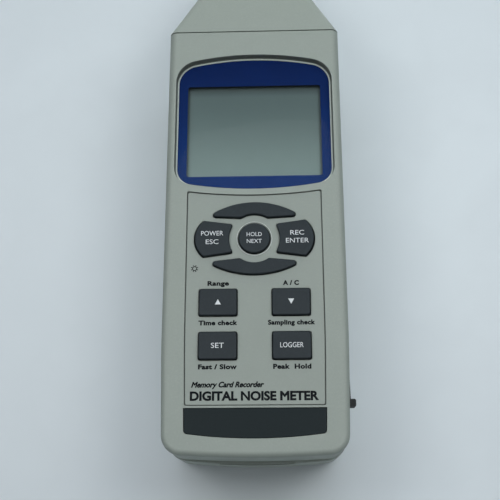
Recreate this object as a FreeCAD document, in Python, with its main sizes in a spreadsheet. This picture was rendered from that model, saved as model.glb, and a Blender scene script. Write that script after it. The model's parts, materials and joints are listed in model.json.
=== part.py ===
import FreeCAD, Part
import math
import os
import Sketcher
from FreeCAD import Placement, Rotation, Vector

# Handheld sound level meter, in millimetres.
# Every piece is drawn with X across the casing (its centre line at 0), Y along it from the bottom
# end towards the microphone, and Z from the rear face (0) to the front face. Each piece's Placement
# then moves it along Y, so that the mouth of the tripod socket on the rear face is the origin.

doc = FreeCAD.newDocument("sound_level_meter")
sheet = doc.addObject("Spreadsheet::Sheet", "Dimensions")

DIMENSIONS = {
    # casing
    "body_width": 68.0, "body_length": 168.0, "body_depth": 45.0, "parting_height": 23.0,
    "side_wall": 2.6, "front_wall": 3.6, "rear_wall": 2.4, "seam_gap": 0.5, "shell_reveal": 0.3,
    "end_reveal": 0.34, "shoulder_side": 0.2, "shoulder_end": 0.8, "end_rise": 2.3,
    "corner_round": 8.0, "end_radius": 250.0, "front_corner": 7.2, "front_end_radius": 400.0,
    "side_taper": 1.0, "cavity_taper": 0.6, "taper_start": 40.0, "taper_round": 600.0,
    "front_round": 3.0, "front_round_end": 2.0, "round_change_low": 15.0,
    "round_change_high": 130.0, "rear_round": 5.0, "edge_break": 0.3, "tripod_from_end": 140.0,
    "pilot_depth": 11.0, "board_pilot_depth": 6.0, "keypad_pilot_depth": 4.0, "boss_overlap": 0.5,
    # microphone end
    "neck_y": 208.0, "neck_width": 24.0, "neck_low": 15.0, "neck_high": 39.0, "neck_round": 7.0,
    "cone_wall": 2.6, "neck_wall": 3.5, "spigot_length": 5.0, "spigot_wall": 1.8, "spigot_play": 0.15,
    "tube_radius": 6.35, "tube_wall": 0.75, "tube_start": 201.5, "tube_end": 236.0, "tip_y": 245.0,
    "foot_radius": 5.4, "foot_wall": 0.7, "shoulder_gap": 0.2, "shoulder_length": 1.5,
    "axis_height": 27.0, "collar_length": 6.0, "collar_radius": 10.5, "bore_play": 0.05,
    "collar_slope": 1.2, "collar_grooves": 24.0, "groove_radius": 0.75, "groove_offset": 0.35,
    "seal_depth": 1.6, "seal_radius": 7.2, "seal_play": 0.1,
    "capsule_start": 226.0, "capsule_end": 240.5, "capsule_play": 0.1, "grille_slots": 8.0,
    # display
    "lens_half": 30.61, "lens_top": 153.0, "lens_bottom": 103.2, "lens_top_arc": 112.81,
    "lens_bottom_arc": 145.19, "lens_top_round": 9.32, "lens_bottom_round": 7.36,
    "lens_sink": 2.75, "lens_thickness": 1.1, "lens_gap": 0.35, "print_margin": 0.95,
    "print_thickness": 0.1, "window_half": 26.09, "window_margin": 0.8, "window_low": 106.2,
    "window_high": 144.6, "window_round": 1.0, "glass_half": 28.6, "glass_low": 102.7, "glass_high": 147.8,
    "glass_thickness": 2.2, "glass_top": 40.6, "frame_wall": 1.2, "frame_play": 0.1,
    "frame_depth": 2.6, "board_thickness": 1.6, "strip_contact_width": 2.0,
    # keypad panel and lower strip
    "panel_half": 25.36, "panel_top": 99.4, "panel_top_arc": 182.47, "panel_low": 18.9,
    "panel_sink": 1.0, "panel_thickness": 0.5, "panel_gap": 0.42, "panel_round": 0.7,
    "strip_high": 18.25, "strip_low": 9.35, "strip_half": 24.9, "strip_sink": 0.8, "strip_gap": 0.15,
    "strip_thickness": 0.5, "strip_round": 1.4, "strip_arc": 182.47,
    # keys
    "key_height": 0.8, "key_gap": 0.3, "key_edge": 0.4, "key_flange": 0.7, "flange_thickness": 0.9,
    "flange_drop": 0.15, "rosette_y": 80.25, "round_key_radius": 5.74,
    "side_key_outer": 18.75, "side_key_outer_rise": 6.97, "side_key_inner": 7.85,
    "side_key_inner_rise": 5.42, "side_key_arc": 9.12, "side_key_notch": 10.4, "side_key_round": 0.9,
    "top_key_tip": 17.15, "top_key_tip_rise": 8.69, "top_key_arc": 30.1, "top_key_edge": 4.91,
    "top_key_edge_rise": 8.05, "bottom_key_tip": 17.25, "bottom_key_tip_drop": 9.09,
    "bottom_key_arc": 33.45, "bottom_key_edge": 5.3, "bottom_key_edge_drop": 7.77,
    "arc_key_notch": 9.42, "tip_round": 0.9, "notch_round": 0.8,
    "push_key_x": 13.24, "upper_key_y": 56.0, "lower_key_y": 40.1, "push_key_width": 13.64,
    "push_key_length": 9.81, "push_key_round": 0.9, "ring_radius": 6.67, "ring_width": 0.35,
    "ring_height": 0.15, "opening_play": 0.05,
    # boards
    "mat_top": 38.8, "mat_thickness": 1.0, "mat_half": 24.6, "mat_margin": 1.0, "mat_round": 2.0,
    "dome_height": 0.5, "dome_radius": 2.6, "side_dome_x": 14.3, "arc_dome_y": 12.0,
    "keypad_screw_x": 27.3, "keypad_screw_low": 32.0, "keypad_screw_high": 92.0,
    "keypad_screw_radius": 0.95, "keypad_screw_head": 1.7, "keypad_head_height": 1.1,
    "keypad_boss": 2.2, "board_screw_x": 20.5, "board_screw_low": 62.0, "board_screw_high": 112.0,
    "board_screw_radius": 1.1, "board_screw_length": 5.5, "board_screw_head": 2.0,
    "board_head_height": 1.3, "board_post": 2.4, "keypad_board_half": 29.0,
    "keypad_board_low": 27.0, "keypad_board_high": 100.0, "main_board_half": 23.9,
    "main_board_low": 5.5, "main_board_high": 160.5, "main_board_top": 23.8,
    # rear side
    "tray_half": 22.9, "tray_low": 13.5, "tray_high": 118.5, "tray_wall": 1.5, "tray_ceiling": 17.1,
    "tray_skin": 1.2, "door_half": 24.5, "door_low": 6.0, "door_high": 125.75, "door_thickness": 2.0,
    "door_gap": 0.25, "door_round": 3.0, "door_screw_low": 9.7, "door_screw_high": 122.2,
    "door_screw_radius": 1.25, "door_boss": 3.0, "door_boss_height": 12.0, "door_screw_head": 2.4,
    "door_head_height": 1.1, "door_sink": 2.5, "door_sink_depth": 1.3, "door_screw_length": 9.0,
    "grip_half": 9.0, "grip_low": 20.0, "grip_width": 0.9, "grip_depth": 0.5, "grip_span": 12.0,
    "grip_rows": 7.0, "cell_radius": 7.25, "cell_length": 50.5, "cell_nub": 1.0,
    "cell_nub_radius": 2.75, "cell_pitch": 15.0, "cell_floor": 2.3, "contact_thickness": 0.4,
    "contact_half": 4.5, "spring_length": 3.2, "spring_radius": 3.2, "spring_wire": 0.35,
    "stand_half": 22.0, "stand_low": 127.8, "stand_hinge": 157.6, "stand_thickness": 2.4,
    "stand_barrel": 1.6, "stand_pin": 1.0, "stand_axis": 1.75, "stand_gap": 0.5,
    "stand_window": 8.6, "stand_window_low": 131.4, "stand_window_high": 149.0,
    "stand_window_round": 2.0, "stand_recess_depth": 3.5, "stand_end_play": 0.35,
    "stand_block_margin": 3.0, "stand_block_height": 3.6, "stand_pin_reach": 2.4,
    "insert_radius": 4.2, "insert_length": 9.0, "thread_length": 8.0, "socket_radius": 3.175,
    "socket_boss": 6.5, "socket_boss_height": 9.5,
    "screw_x": 27.9, "screw_low": 14.0, "screw_high": 155.4, "boss_radius": 3.8,
    "screw_head": 2.7, "screw_head_height": 2.2, "screw_shank": 1.5, "screw_sink": 5.0,
    "case_screw_length": 28.0,
    # right-hand ports
    "port_low": 19.8, "port_high": 59.6, "port_top": 32.2, "port_floor": 32.4, "cover_gap": 0.2,
    "cover_thickness": 1.2, "cover_hinge_x": 33.05, "cover_hinge_y": 58.4, "cover_barrel": 0.58,
    "cover_pin": 0.3, "cover_pin_reach": 1.2, "cover_flare": 0.9, "tab_low": 20.2,
    "tab_length": 2.8, "tab_reach": 36.6, "tab_height": 4.6, "tab_round": 0.7, "port_wall": 5.0,
    "port_axis": 27.6, "power_y": 27.5, "output_y": 36.0, "data_y": 44.0, "trimmer_y": 50.0,
    "reset_y": 54.3, "jack_radius": 1.8, "jack_nose": 2.6, "power_radius": 2.8, "power_nose": 3.4,
    "jack_depth": 8.0, "nose_play": 0.2, "nose_end": 32.3,
    "trimmer_radius": 1.5, "reset_radius": 0.9, "reset_travel": 0.4,
    # memory card
    "card_width": 24.0, "card_length": 32.0, "card_thickness": 2.1, "card_low": 0.9,
    "card_floor": 19.45, "card_play": 0.15, "slot_half": 13.7, "slot_low": 19.3, "slot_high": 22.65,
    "slot_depth": 7.0,
}

for row, (alias, value) in enumerate(DIMENSIONS.items(), start=1):
    sheet.set(f"A{row}", alias.replace("_", " "))
    sheet.set(f"B{row}", str(value))
    sheet.setAlias(f"B{row}", alias)
doc.recompute()


class Size:
    """A length: its number now, and the expression on the sheet that gives it."""

    def __init__(self, number, text):
        self.number = float(number)
        self.text = text

    def __add__(self, other):
        return Size(self.number + float(other), f"({self.text} + {size(other).text})")

    def __sub__(self, other):
        return Size(self.number - float(other), f"({self.text} - {size(other).text})")

    def __mul__(self, other):
        return Size(self.number * float(other), f"({self.text} * {size(other).text})")

    def __truediv__(self, other):
        return Size(self.number / float(other), f"({self.text} / {size(other).text})")

    def __radd__(self, other):
        return size(other) + self

    def __rsub__(self, other):
        return size(other) - self

    def __rmul__(self, other):
        return size(other) * self

    def __neg__(self):
        return Size(-self.number, f"(0 - {self.text})")

    def __float__(self):
        return self.number


def size(value):
    return value if isinstance(value, Size) else Size(value, f"({float(value):.6g})")


class Cells:
    """Gives each cell of the sheet by its alias."""

    def __getattr__(self, alias):
        return Size(float(sheet.get(alias)), "Dimensions." + alias)


d = Cells()
sub_parts = []


# ---- sketches ----

def bind(item, prop, value):
    item.setExpression(prop, size(value).text)


def flat_vector(x, y):
    return Vector(float(x), float(y), 0)


def new_sketch(body, name, plane="XY_Plane", offset=0.0):
    """A sketch on one of the body's own planes, moved by offset along the plane's normal."""
    sketch = body.newObject("Sketcher::SketchObject", name)
    support = next(item for item in body.Origin.OriginFeatures if item.Role == plane)
    sketch.AttachmentSupport = [(support, "")]
    sketch.MapMode = "FlatFace"
    bind(sketch, "AttachmentOffset.Base.z", offset)
    return sketch


def place_point(sketch, geometry, position, x, y):
    """Binds one point of the sketch's geometry to its two coordinates."""
    for kind, value in (("DistanceX", x), ("DistanceY", y)):
        index = sketch.addConstraint(
            Sketcher.Constraint(kind, -1, 1, geometry, position, float(value)))
        sketch.setExpression(f"Constraints[{index}]", size(value).text)


def bind_radius(sketch, geometry, radius):
    index = sketch.addConstraint(Sketcher.Constraint("Radius", geometry, float(radius)))
    sketch.setExpression(f"Constraints[{index}]", size(radius).text)


def circle(sketch, x, y, radius):
    centre = flat_vector(x, y)
    index = sketch.addGeometry(Part.Circle(centre, Vector(0, 0, 1), float(radius)), False)
    place_point(sketch, index, 3, x, y)
    bind_radius(sketch, index, radius)


class Side:
    """One side of an outline: straight, or an arc that turns left (+1) or right (-1)."""

    def __init__(self, start, end, radius, turn):
        self.start = start
        self.end = end
        self.radius = radius
        self.turn = turn
        self.along = (end - start).normalize()
        self.left = Vector(-self.along.y, self.along.x, 0)
        if radius:
            half = (end - start).Length / 2
            rise = math.sqrt(float(radius) ** 2 - half ** 2)
            self.centre = (start + end) / 2 + self.left * (turn * rise)

    def direction_at(self, point):
        if not self.radius:
            return self.along
        spoke = point - self.centre
        return Vector(-spoke.y, spoke.x, 0).normalize() * self.turn

    def shifted(self, distance):
        """The side's whole line or circle, moved to its left."""
        if not self.radius:
            foot = self.start + self.left * distance
            return Part.Line(foot, foot + self.along)
        return Part.Circle(self.centre, Vector(0, 0, 1), float(self.radius) - self.turn * distance)

    def nearest(self, point):
        if not self.radius:
            return self.start + self.along * (point - self.start).dot(self.along)
        return self.centre + (point - self.centre).normalize() * float(self.radius)

    def draw(self, sketch, start, end):
        """Adds the side between two of its points; returns its index and its end positions."""
        if not self.radius:
            return sketch.addGeometry(Part.LineSegment(start, end), False), 1, 2
        return draw_arc(sketch, self.centre, float(self.radius), self.turn, start, end)


def draw_arc(sketch, centre, radius, turn, start, end):
    def angle(point):
        return math.atan2(point.y - centre.y, point.x - centre.x)

    first, last = (start, end) if turn > 0 else (end, start)
    whole = Part.Circle(centre, Vector(0, 0, 1), radius)
    index = sketch.addGeometry(Part.ArcOfCircle(whole, angle(first), angle(last)), False)
    return (index, 1, 2) if turn > 0 else (index, 2, 1)


def outline(sketch, corners):
    """Closed outline. Each corner is (x, y, rounding or 0, radius of the side that follows or 0,
    its turn). Corners, roundings and radii are all bound to the sheet."""
    points = [flat_vector(corner[0], corner[1]) for corner in corners]
    count = len(points)
    sides = [Side(points[i], points[(i + 1) % count], corners[i][3], corners[i][4])
             for i in range(count)]
    roundings = []
    for i, (x, y, rounding, radius, turn) in enumerate(corners):
        before, after = sides[i - 1], sides[i]
        if not rounding:
            roundings.append((points[i], points[i], None, 0))
            continue
        bend = before.direction_at(points[i]).cross(after.direction_at(points[i])).z
        hand = 1 if bend > 0 else -1
        shift = hand * float(rounding)
        meetings = before.shifted(shift).intersectCC(after.shifted(shift))
        centre = min((Vector(m.X, m.Y, 0) for m in meetings), key=lambda m: (m - points[i]).Length)
        roundings.append((before.nearest(centre), after.nearest(centre), centre, hand))
    marks = []
    for point, (x, y, *rest) in zip(points, corners):
        mark = sketch.addGeometry(Part.Point(point), True)
        place_point(sketch, mark, 1, x, y)
        marks.append(mark)
    drawn = [sides[i].draw(sketch, roundings[i][1], roundings[(i + 1) % count][0])
             for i in range(count)]
    for i, (index, first, last) in enumerate(drawn):
        following = (i + 1) % count
        ends = ((first, i, marks[i]), (last, following, marks[following]))
        for position, corner_index, mark in ends:
            if corners[corner_index][2]:
                sketch.addConstraint(Sketcher.Constraint("PointOnObject", mark, 1, index))
            else:
                sketch.addConstraint(Sketcher.Constraint("Coincident", index, position, mark, 1))
        if corners[i][3]:
            bind_radius(sketch, index, corners[i][3])
    for i, (start, end, centre, hand) in enumerate(roundings):
        if centre is None:
            continue
        rounding = corners[i][2]
        index, first, last = draw_arc(sketch, centre, float(rounding), hand, start, end)
        before, after = drawn[i - 1], drawn[i]
        sketch.addConstraint(Sketcher.Constraint("Tangent", before[0], before[2], index, first))
        sketch.addConstraint(Sketcher.Constraint("Tangent", index, last, after[0], after[1]))
        bind_radius(sketch, index, rounding)


def rectangle(sketch, low_x, low_y, high_x, high_y, rounding=0):
    outline(sketch, [(low_x, low_y, rounding, 0, 0), (high_x, low_y, rounding, 0, 0),
                     (high_x, high_y, rounding, 0, 0), (low_x, high_y, rounding, 0, 0)])


# ---- features ----

def new_body(label):
    """A sub-part drawn in the casing's coordinates, with the tripod socket as its origin."""
    body = doc.addObject("PartDesign::Body", label)
    body.Label = label
    bind(body, "Placement.Base.y", -d.tripod_from_end)
    sub_parts.append(body)
    return body


def add_pad(body, sketch, length, reverse=False):
    feature = body.newObject("PartDesign::Pad", sketch.Name + "_pad")
    feature.Profile = sketch
    feature.Reversed = reverse
    bind(feature, "Length", length)
    doc.recompute()
    return feature


def add_pocket(body, sketch, length, reverse=False):
    """A pocket; it stops the build when it takes nothing away."""
    before = body.Shape.Volume
    feature = body.newObject("PartDesign::Pocket", sketch.Name + "_pocket")
    feature.Profile = sketch
    feature.Reversed = reverse
    bind(feature, "Length", length)
    doc.recompute()
    if body.Shape.Volume > before - 1e-3:
        raise ValueError(f"{feature.Name} cuts nothing")
    return feature


def add_revolution(body, sketch, axis="V_Axis"):
    feature = body.newObject("PartDesign::Revolution", sketch.Name + "_turned")
    feature.Profile = sketch
    feature.ReferenceAxis = (sketch, [axis])
    feature.Angle = 360
    doc.recompute()
    return feature


def edge_names(shape, test):
    return [f"Edge{i}" for i, edge in enumerate(shape.Edges, start=1) if test(edge)]


def lies_at_height(height):
    """True for an edge that lies flat at this height."""
    def test(edge):
        box = edge.BoundBox
        return abs(box.ZMin - float(height)) < 1e-4 and abs(box.ZMax - float(height)) < 1e-4
    return test


def add_fillet(body, names, radius, kind="Fillet"):
    base = body.Tip
    feature = body.newObject("PartDesign::" + kind, f"{body.Name}_{kind.lower()}_{len(body.Group)}")
    feature.Base = (base, names)
    bind(feature, "Radius" if kind == "Fillet" else "Size", radius)
    doc.recompute()
    return feature


def add_pattern(body, feature, axis, count, angle=360.0):
    pattern = body.newObject("PartDesign::PolarPattern", feature.Name + "_pattern")
    pattern.Originals = [feature]
    pattern.Axis = axis
    pattern.Angle = angle
    bind(pattern, "Occurrences", count)
    body.Tip = pattern
    doc.recompute()
    return pattern


def add_box(label, low, high):
    """A plain board or block between two corners."""
    item = doc.addObject("Part::Box", label)
    item.Label = label
    for prop, start, end in zip(("Length", "Width", "Height"), low, high):
        bind(item, prop, size(end) - start)
    place(item, low)
    return item


def add_cylinder(label, foot, radius, height, direction="z"):
    item = doc.addObject("Part::Cylinder", label)
    item.Label = label
    bind(item, "Radius", radius)
    bind(item, "Height", height)
    turned = {"x": Rotation(Vector(0, 1, 0), 90), "y": Rotation(Vector(1, 0, 0), -90),
              "z": Rotation()}[direction]
    item.Placement = Placement(Vector(), turned)
    place(item, foot)
    return item


def place(item, foot):
    for prop, value in zip("xyz", foot):
        shift = size(value) - d.tripod_from_end if prop == "y" else size(value)
        bind(item, "Placement.Base." + prop, shift)


def add_group(label, pieces):
    """Separate solids of one kind, kept as one node."""
    group = doc.addObject("Part::Compound", label)
    group.Label = label
    group.Links = pieces
    sub_parts.append(group)
    return group


def sub_part(item):
    sub_parts.append(item)
    return item


def add_cut(label, base, tools):
    """A block with other shapes taken away from it."""
    tool = tools[0]
    if len(tools) > 1:
        tool = doc.addObject("Part::MultiFuse", label + "_tools")
        tool.Shapes = tools
    cut = doc.addObject("Part::Cut", label)
    cut.Label = label
    cut.Base = base
    cut.Tool = tool
    return sub_part(cut)


# ---- casing ----

def casing_outline(sketch, inset, end_inset, corner, end_radius):
    """Plan of the casing: tapering lower sides, round corners, a bulging bottom end."""
    half = d.body_width / 2 - inset
    end_half = half - d.side_taper
    low = d.end_rise + end_inset
    top = d.body_length - d.seam_gap
    outline(sketch, [
        (-end_half, low, corner, end_radius, 1),
        (end_half, low, corner, 0, 0),
        (half, d.taper_start, d.taper_round, 0, 0),
        (half, top, 0, 0, 0),
        (-half, top, 0, 0, 0),
        (-half, d.taper_start, d.taper_round, 0, 0),
    ])


def display_outline(sketch, inset):
    """Arched opening of the display, drawn smaller by inset."""
    half = d.lens_half - inset
    top = d.lens_top - inset
    low = d.lens_bottom + inset
    outline(sketch, [
        (-half, low, d.lens_bottom_round - inset, d.lens_bottom_arc - inset, 1),
        (half, low, d.lens_bottom_round - inset, 0, 0),
        (half, top, d.lens_top_round - inset, d.lens_top_arc - inset, 1),
        (-half, top, d.lens_top_round - inset, 0, 0),
    ])


def panel_outline(sketch, inset):
    """Keypad panel: its top edge follows the display, and its sides taper with the casing."""
    half = d.panel_half - inset
    low_half = half - d.side_taper / 2
    outline(sketch, [
        (-low_half, d.panel_low + inset, d.panel_round, 0, 0),
        (low_half, d.panel_low + inset, d.panel_round, 0, 0),
        (half, d.taper_start, d.taper_round, 0, 0),
        (half, d.panel_top - inset, d.panel_round, d.panel_top_arc, -1),
        (-half, d.panel_top - inset, d.panel_round, 0, 0),
        (-half, d.taper_start, d.taper_round, 0, 0),
    ])


def strip_outline(sketch, inset):
    """Dark strip under the panel, with a bulging lower edge."""
    half = d.strip_half - inset
    outline(sketch, [
        (-half, d.strip_low + inset, d.strip_round, d.strip_arc, 1),
        (half, d.strip_low + inset, d.strip_round, 0, 0),
        (half + d.side_taper / 4, d.strip_high - inset, 0, 0, 0),
        (-half - d.side_taper / 4, d.strip_high - inset, 0, 0, 0),
    ])


def side_key_outline(hand):
    """Left (-1) or right (+1) key of the rosette."""
    def draw(sketch, grow):
        outer = d.side_key_outer + grow
        inner = d.side_key_inner - grow
        outer_rise = d.side_key_outer_rise + grow
        inner_rise = d.side_key_inner_rise + grow
        edge = d.side_key_round
        corners = [
            (hand * outer, d.rosette_y - outer_rise, edge, d.side_key_arc + grow, 1),
            (hand * outer, d.rosette_y + outer_rise, edge, 0, 0),
            (hand * inner, d.rosette_y + inner_rise, edge, d.side_key_notch - grow, -1),
            (hand * inner, d.rosette_y - inner_rise, edge, 0, 0),
        ]
        if hand < 0:
            corners = [corners[i][:3] + corners[i - 1][3:] for i in (3, 2, 1, 0)]
        outline(sketch, corners)
    return draw


def arc_key_outline(hand):
    """Upper (+1) or lower (-1) long key of the rosette."""
    def draw(sketch, grow):
        if hand > 0:
            tip, tip_rise, arc = d.top_key_tip, d.top_key_tip_rise, d.top_key_arc
            edge, edge_rise = d.top_key_edge, d.top_key_edge_rise
        else:
            tip, tip_rise, arc = d.bottom_key_tip, d.bottom_key_tip_drop, d.bottom_key_arc
            edge, edge_rise = d.bottom_key_edge, d.bottom_key_edge_drop
        tip = tip + 3 * size(grow)
        tip_y = d.rosette_y + hand * (tip_rise - 0.8 * size(grow))
        edge_y = d.rosette_y + hand * (edge_rise - grow)
        notch = d.arc_key_notch - grow
        tip_round = d.tip_round + grow
        corners = [
            (tip, tip_y, tip_round, arc + grow, 1),
            (-tip, tip_y, tip_round, 0, 0),
            (-edge, edge_y, d.notch_round, notch, -1),
            (edge, edge_y, d.notch_round, 0, 0),
        ]
        if hand < 0:
            corners = [corners[i][:3] + corners[i - 1][3:] for i in (3, 2, 1, 0)]
        outline(sketch, corners)
    return draw


def push_key_outline(x, y):
    """Rectangular key."""
    def draw(sketch, grow):
        half_width = d.push_key_width / 2 + grow
        half_length = d.push_key_length / 2 + grow
        rectangle(sketch, x - half_width, y - half_length, x + half_width, y + half_length,
                  d.push_key_round)
    return draw


def round_key_outline(sketch, grow):
    circle(sketch, 0, d.rosette_y, d.round_key_radius + grow)


KEYS = {
    "hold_key": round_key_outline,
    "power_key": side_key_outline(-1),
    "record_key": side_key_outline(1),
    "upper_key": arc_key_outline(1),
    "light_key": arc_key_outline(-1),
    "range_up_key": push_key_outline(-d.push_key_x, d.upper_key_y),
    "weighting_key": push_key_outline(d.push_key_x, d.upper_key_y),
    "set_key": push_key_outline(-d.push_key_x, d.lower_key_y),
    "log_key": push_key_outline(d.push_key_x, d.lower_key_y),
}

CASE_SCREWS = [(side * d.screw_x, y) for side in (-1, 1) for y in (d.screw_low, d.screw_high)]
KEYPAD_SCREWS = [(side * d.keypad_screw_x, y) for side in (-1, 1)
                 for y in (d.keypad_screw_low, d.keypad_screw_high)]
BOARD_SCREWS = [(side * d.board_screw_x, y) for side in (-1, 1)
                for y in (d.board_screw_low, d.board_screw_high)]


def casing_blank(label, plan, height, low):
    """Solid half casing, before its edges are rounded. The plan holds the casing outline's sizes."""
    blank = doc.addObject("PartDesign::Body", label)
    sketch = new_sketch(blank, label + "_plan", offset=low)
    casing_outline(sketch, *plan)
    add_pad(blank, sketch, height)
    return blank


def rounded_blank(label, blank, roundings):
    """The blank with its flat rims rounded. Each rounding is (height of the rim, radius along the
    sides, radius at the bottom end). The edge towards the cone stays square."""
    rounded = doc.addObject("Part::Fillet", label)
    rounded.Base = blank
    seam = float(d.body_length - d.seam_gap)
    start, end = float(d.round_change_low), float(d.round_change_high)
    edges = []
    for height, side_radius, end_radius in roundings:
        flat = lies_at_height(height)
        for i, edge in enumerate(blank.Shape.Edges, start=1):
            places = [vertex.Point.y for vertex in edge.Vertexes]
            if not flat(edge) or min(places) > seam - 1:
                continue
            shares = [min(max((y - start) / (end - start), 0.0), 1.0) for y in places]
            radii = [float(end_radius + (side_radius - end_radius) * share) for share in shares]
            edges.append((i, radii[0], radii[1]))
    rounded.Edges = edges
    doc.recompute()
    return rounded


def cavity_outline(sketch):
    """Inside of the casing, open towards the cone."""
    half = d.body_width / 2 - d.side_wall
    low = d.end_rise + d.side_wall
    outline(sketch, [
        (-half + d.cavity_taper, low, d.corner_round - d.side_wall, d.end_radius - d.side_wall, 1),
        (half - d.cavity_taper, low, d.corner_round - d.side_wall, 0, 0),
        (half, d.taper_start, d.taper_round, 0, 0),
        (half, d.body_length + 1, 0, 0, 0),
        (-half, d.body_length + 1, 0, 0, 0),
        (-half, d.taper_start, d.taper_round, 0, 0),
    ])


def front_shell():
    """Front half: display recess, panel and strip recesses, key openings, port recess, bosses."""
    plan = (d.shell_reveal, d.end_reveal, d.front_corner, d.front_end_radius)
    blank = casing_blank("front_blank", plan, d.body_depth - d.parting_height, d.parting_height)
    body = new_body("front_shell")
    body.BaseFeature = rounded_blank("front_rounded", blank, [
        (d.body_depth, d.front_round, d.front_round_end)])
    doc.recompute()
    ceiling = d.body_depth - d.front_wall

    sketch = new_sketch(body, "front_cavity", offset=d.parting_height)
    cavity_outline(sketch)
    add_pocket(body, sketch, ceiling - d.parting_height, reverse=True)

    sketch = new_sketch(body, "case_boss", offset=d.parting_height)
    for x, y in CASE_SCREWS:
        circle(sketch, x, y, d.boss_radius - 0.1)
    add_pad(body, sketch, ceiling - d.parting_height + d.boss_overlap)

    sketch = new_sketch(body, "keypad_boss", offset=d.mat_top - d.mat_thickness)
    for x, y in KEYPAD_SCREWS:
        circle(sketch, x, y, d.keypad_boss)
    add_pad(body, sketch, ceiling - d.mat_top + d.mat_thickness + d.boss_overlap)

    sketch = new_sketch(body, "display_recess", offset=d.body_depth)
    display_outline(sketch, 0)
    add_pocket(body, sketch, d.lens_sink)

    sketch = new_sketch(body, "display_window", offset=d.body_depth)
    margin = d.window_margin
    rectangle(sketch, -d.window_half - margin, d.window_low - margin, d.window_half + margin,
              d.window_high + margin, d.window_round)
    add_pocket(body, sketch, d.front_wall)

    sketch = new_sketch(body, "panel_recess", offset=d.body_depth)
    panel_outline(sketch, 0)
    add_pocket(body, sketch, d.panel_sink)

    sketch = new_sketch(body, "strip_recess", offset=d.body_depth)
    strip_outline(sketch, 0)
    add_pocket(body, sketch, d.strip_sink)

    for label, draw in KEYS.items():
        sketch = new_sketch(body, label + "_opening", offset=d.body_depth)
        draw(sketch, d.key_gap)
        add_pocket(body, sketch, d.front_wall)

    sketch = new_sketch(body, "case_pilot", offset=d.parting_height)
    for x, y in CASE_SCREWS:
        circle(sketch, x, y, d.screw_shank + d.bore_play)
    add_pocket(body, sketch, d.pilot_depth, reverse=True)

    sketch = new_sketch(body, "keypad_pilot", offset=d.mat_top - d.mat_thickness)
    for x, y in KEYPAD_SCREWS:
        circle(sketch, x, y, d.keypad_screw_radius + d.bore_play)
    add_pocket(body, sketch, d.keypad_pilot_depth, reverse=True)

    sketch = new_sketch(body, "port_recess", "YZ_Plane", d.body_width / 2 + 1)
    rectangle(sketch, d.port_low, d.parting_height - 1, d.port_high, d.port_top)
    add_pocket(body, sketch, d.body_width / 2 + 1 - d.port_floor)

    sketch = new_sketch(body, "port_holes", "YZ_Plane", d.body_width / 2 + 1)
    circle(sketch, d.power_y, d.port_axis, d.power_nose + d.nose_play)
    circle(sketch, d.output_y, d.port_axis, d.jack_nose + d.nose_play)
    circle(sketch, d.data_y, d.port_axis, d.jack_nose + d.nose_play)
    circle(sketch, d.trimmer_y, d.port_axis, d.trimmer_radius + d.nose_play)
    circle(sketch, d.reset_y, d.port_axis, d.reset_radius + d.nose_play)
    add_pocket(body, sketch, d.port_wall)

    sketch = new_sketch(body, "cover_pin_hole", offset=d.port_top)
    circle(sketch, d.cover_hinge_x, d.cover_hinge_y, d.cover_pin)
    add_pocket(body, sketch, d.cover_pin_reach, reverse=True)
    return body


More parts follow.
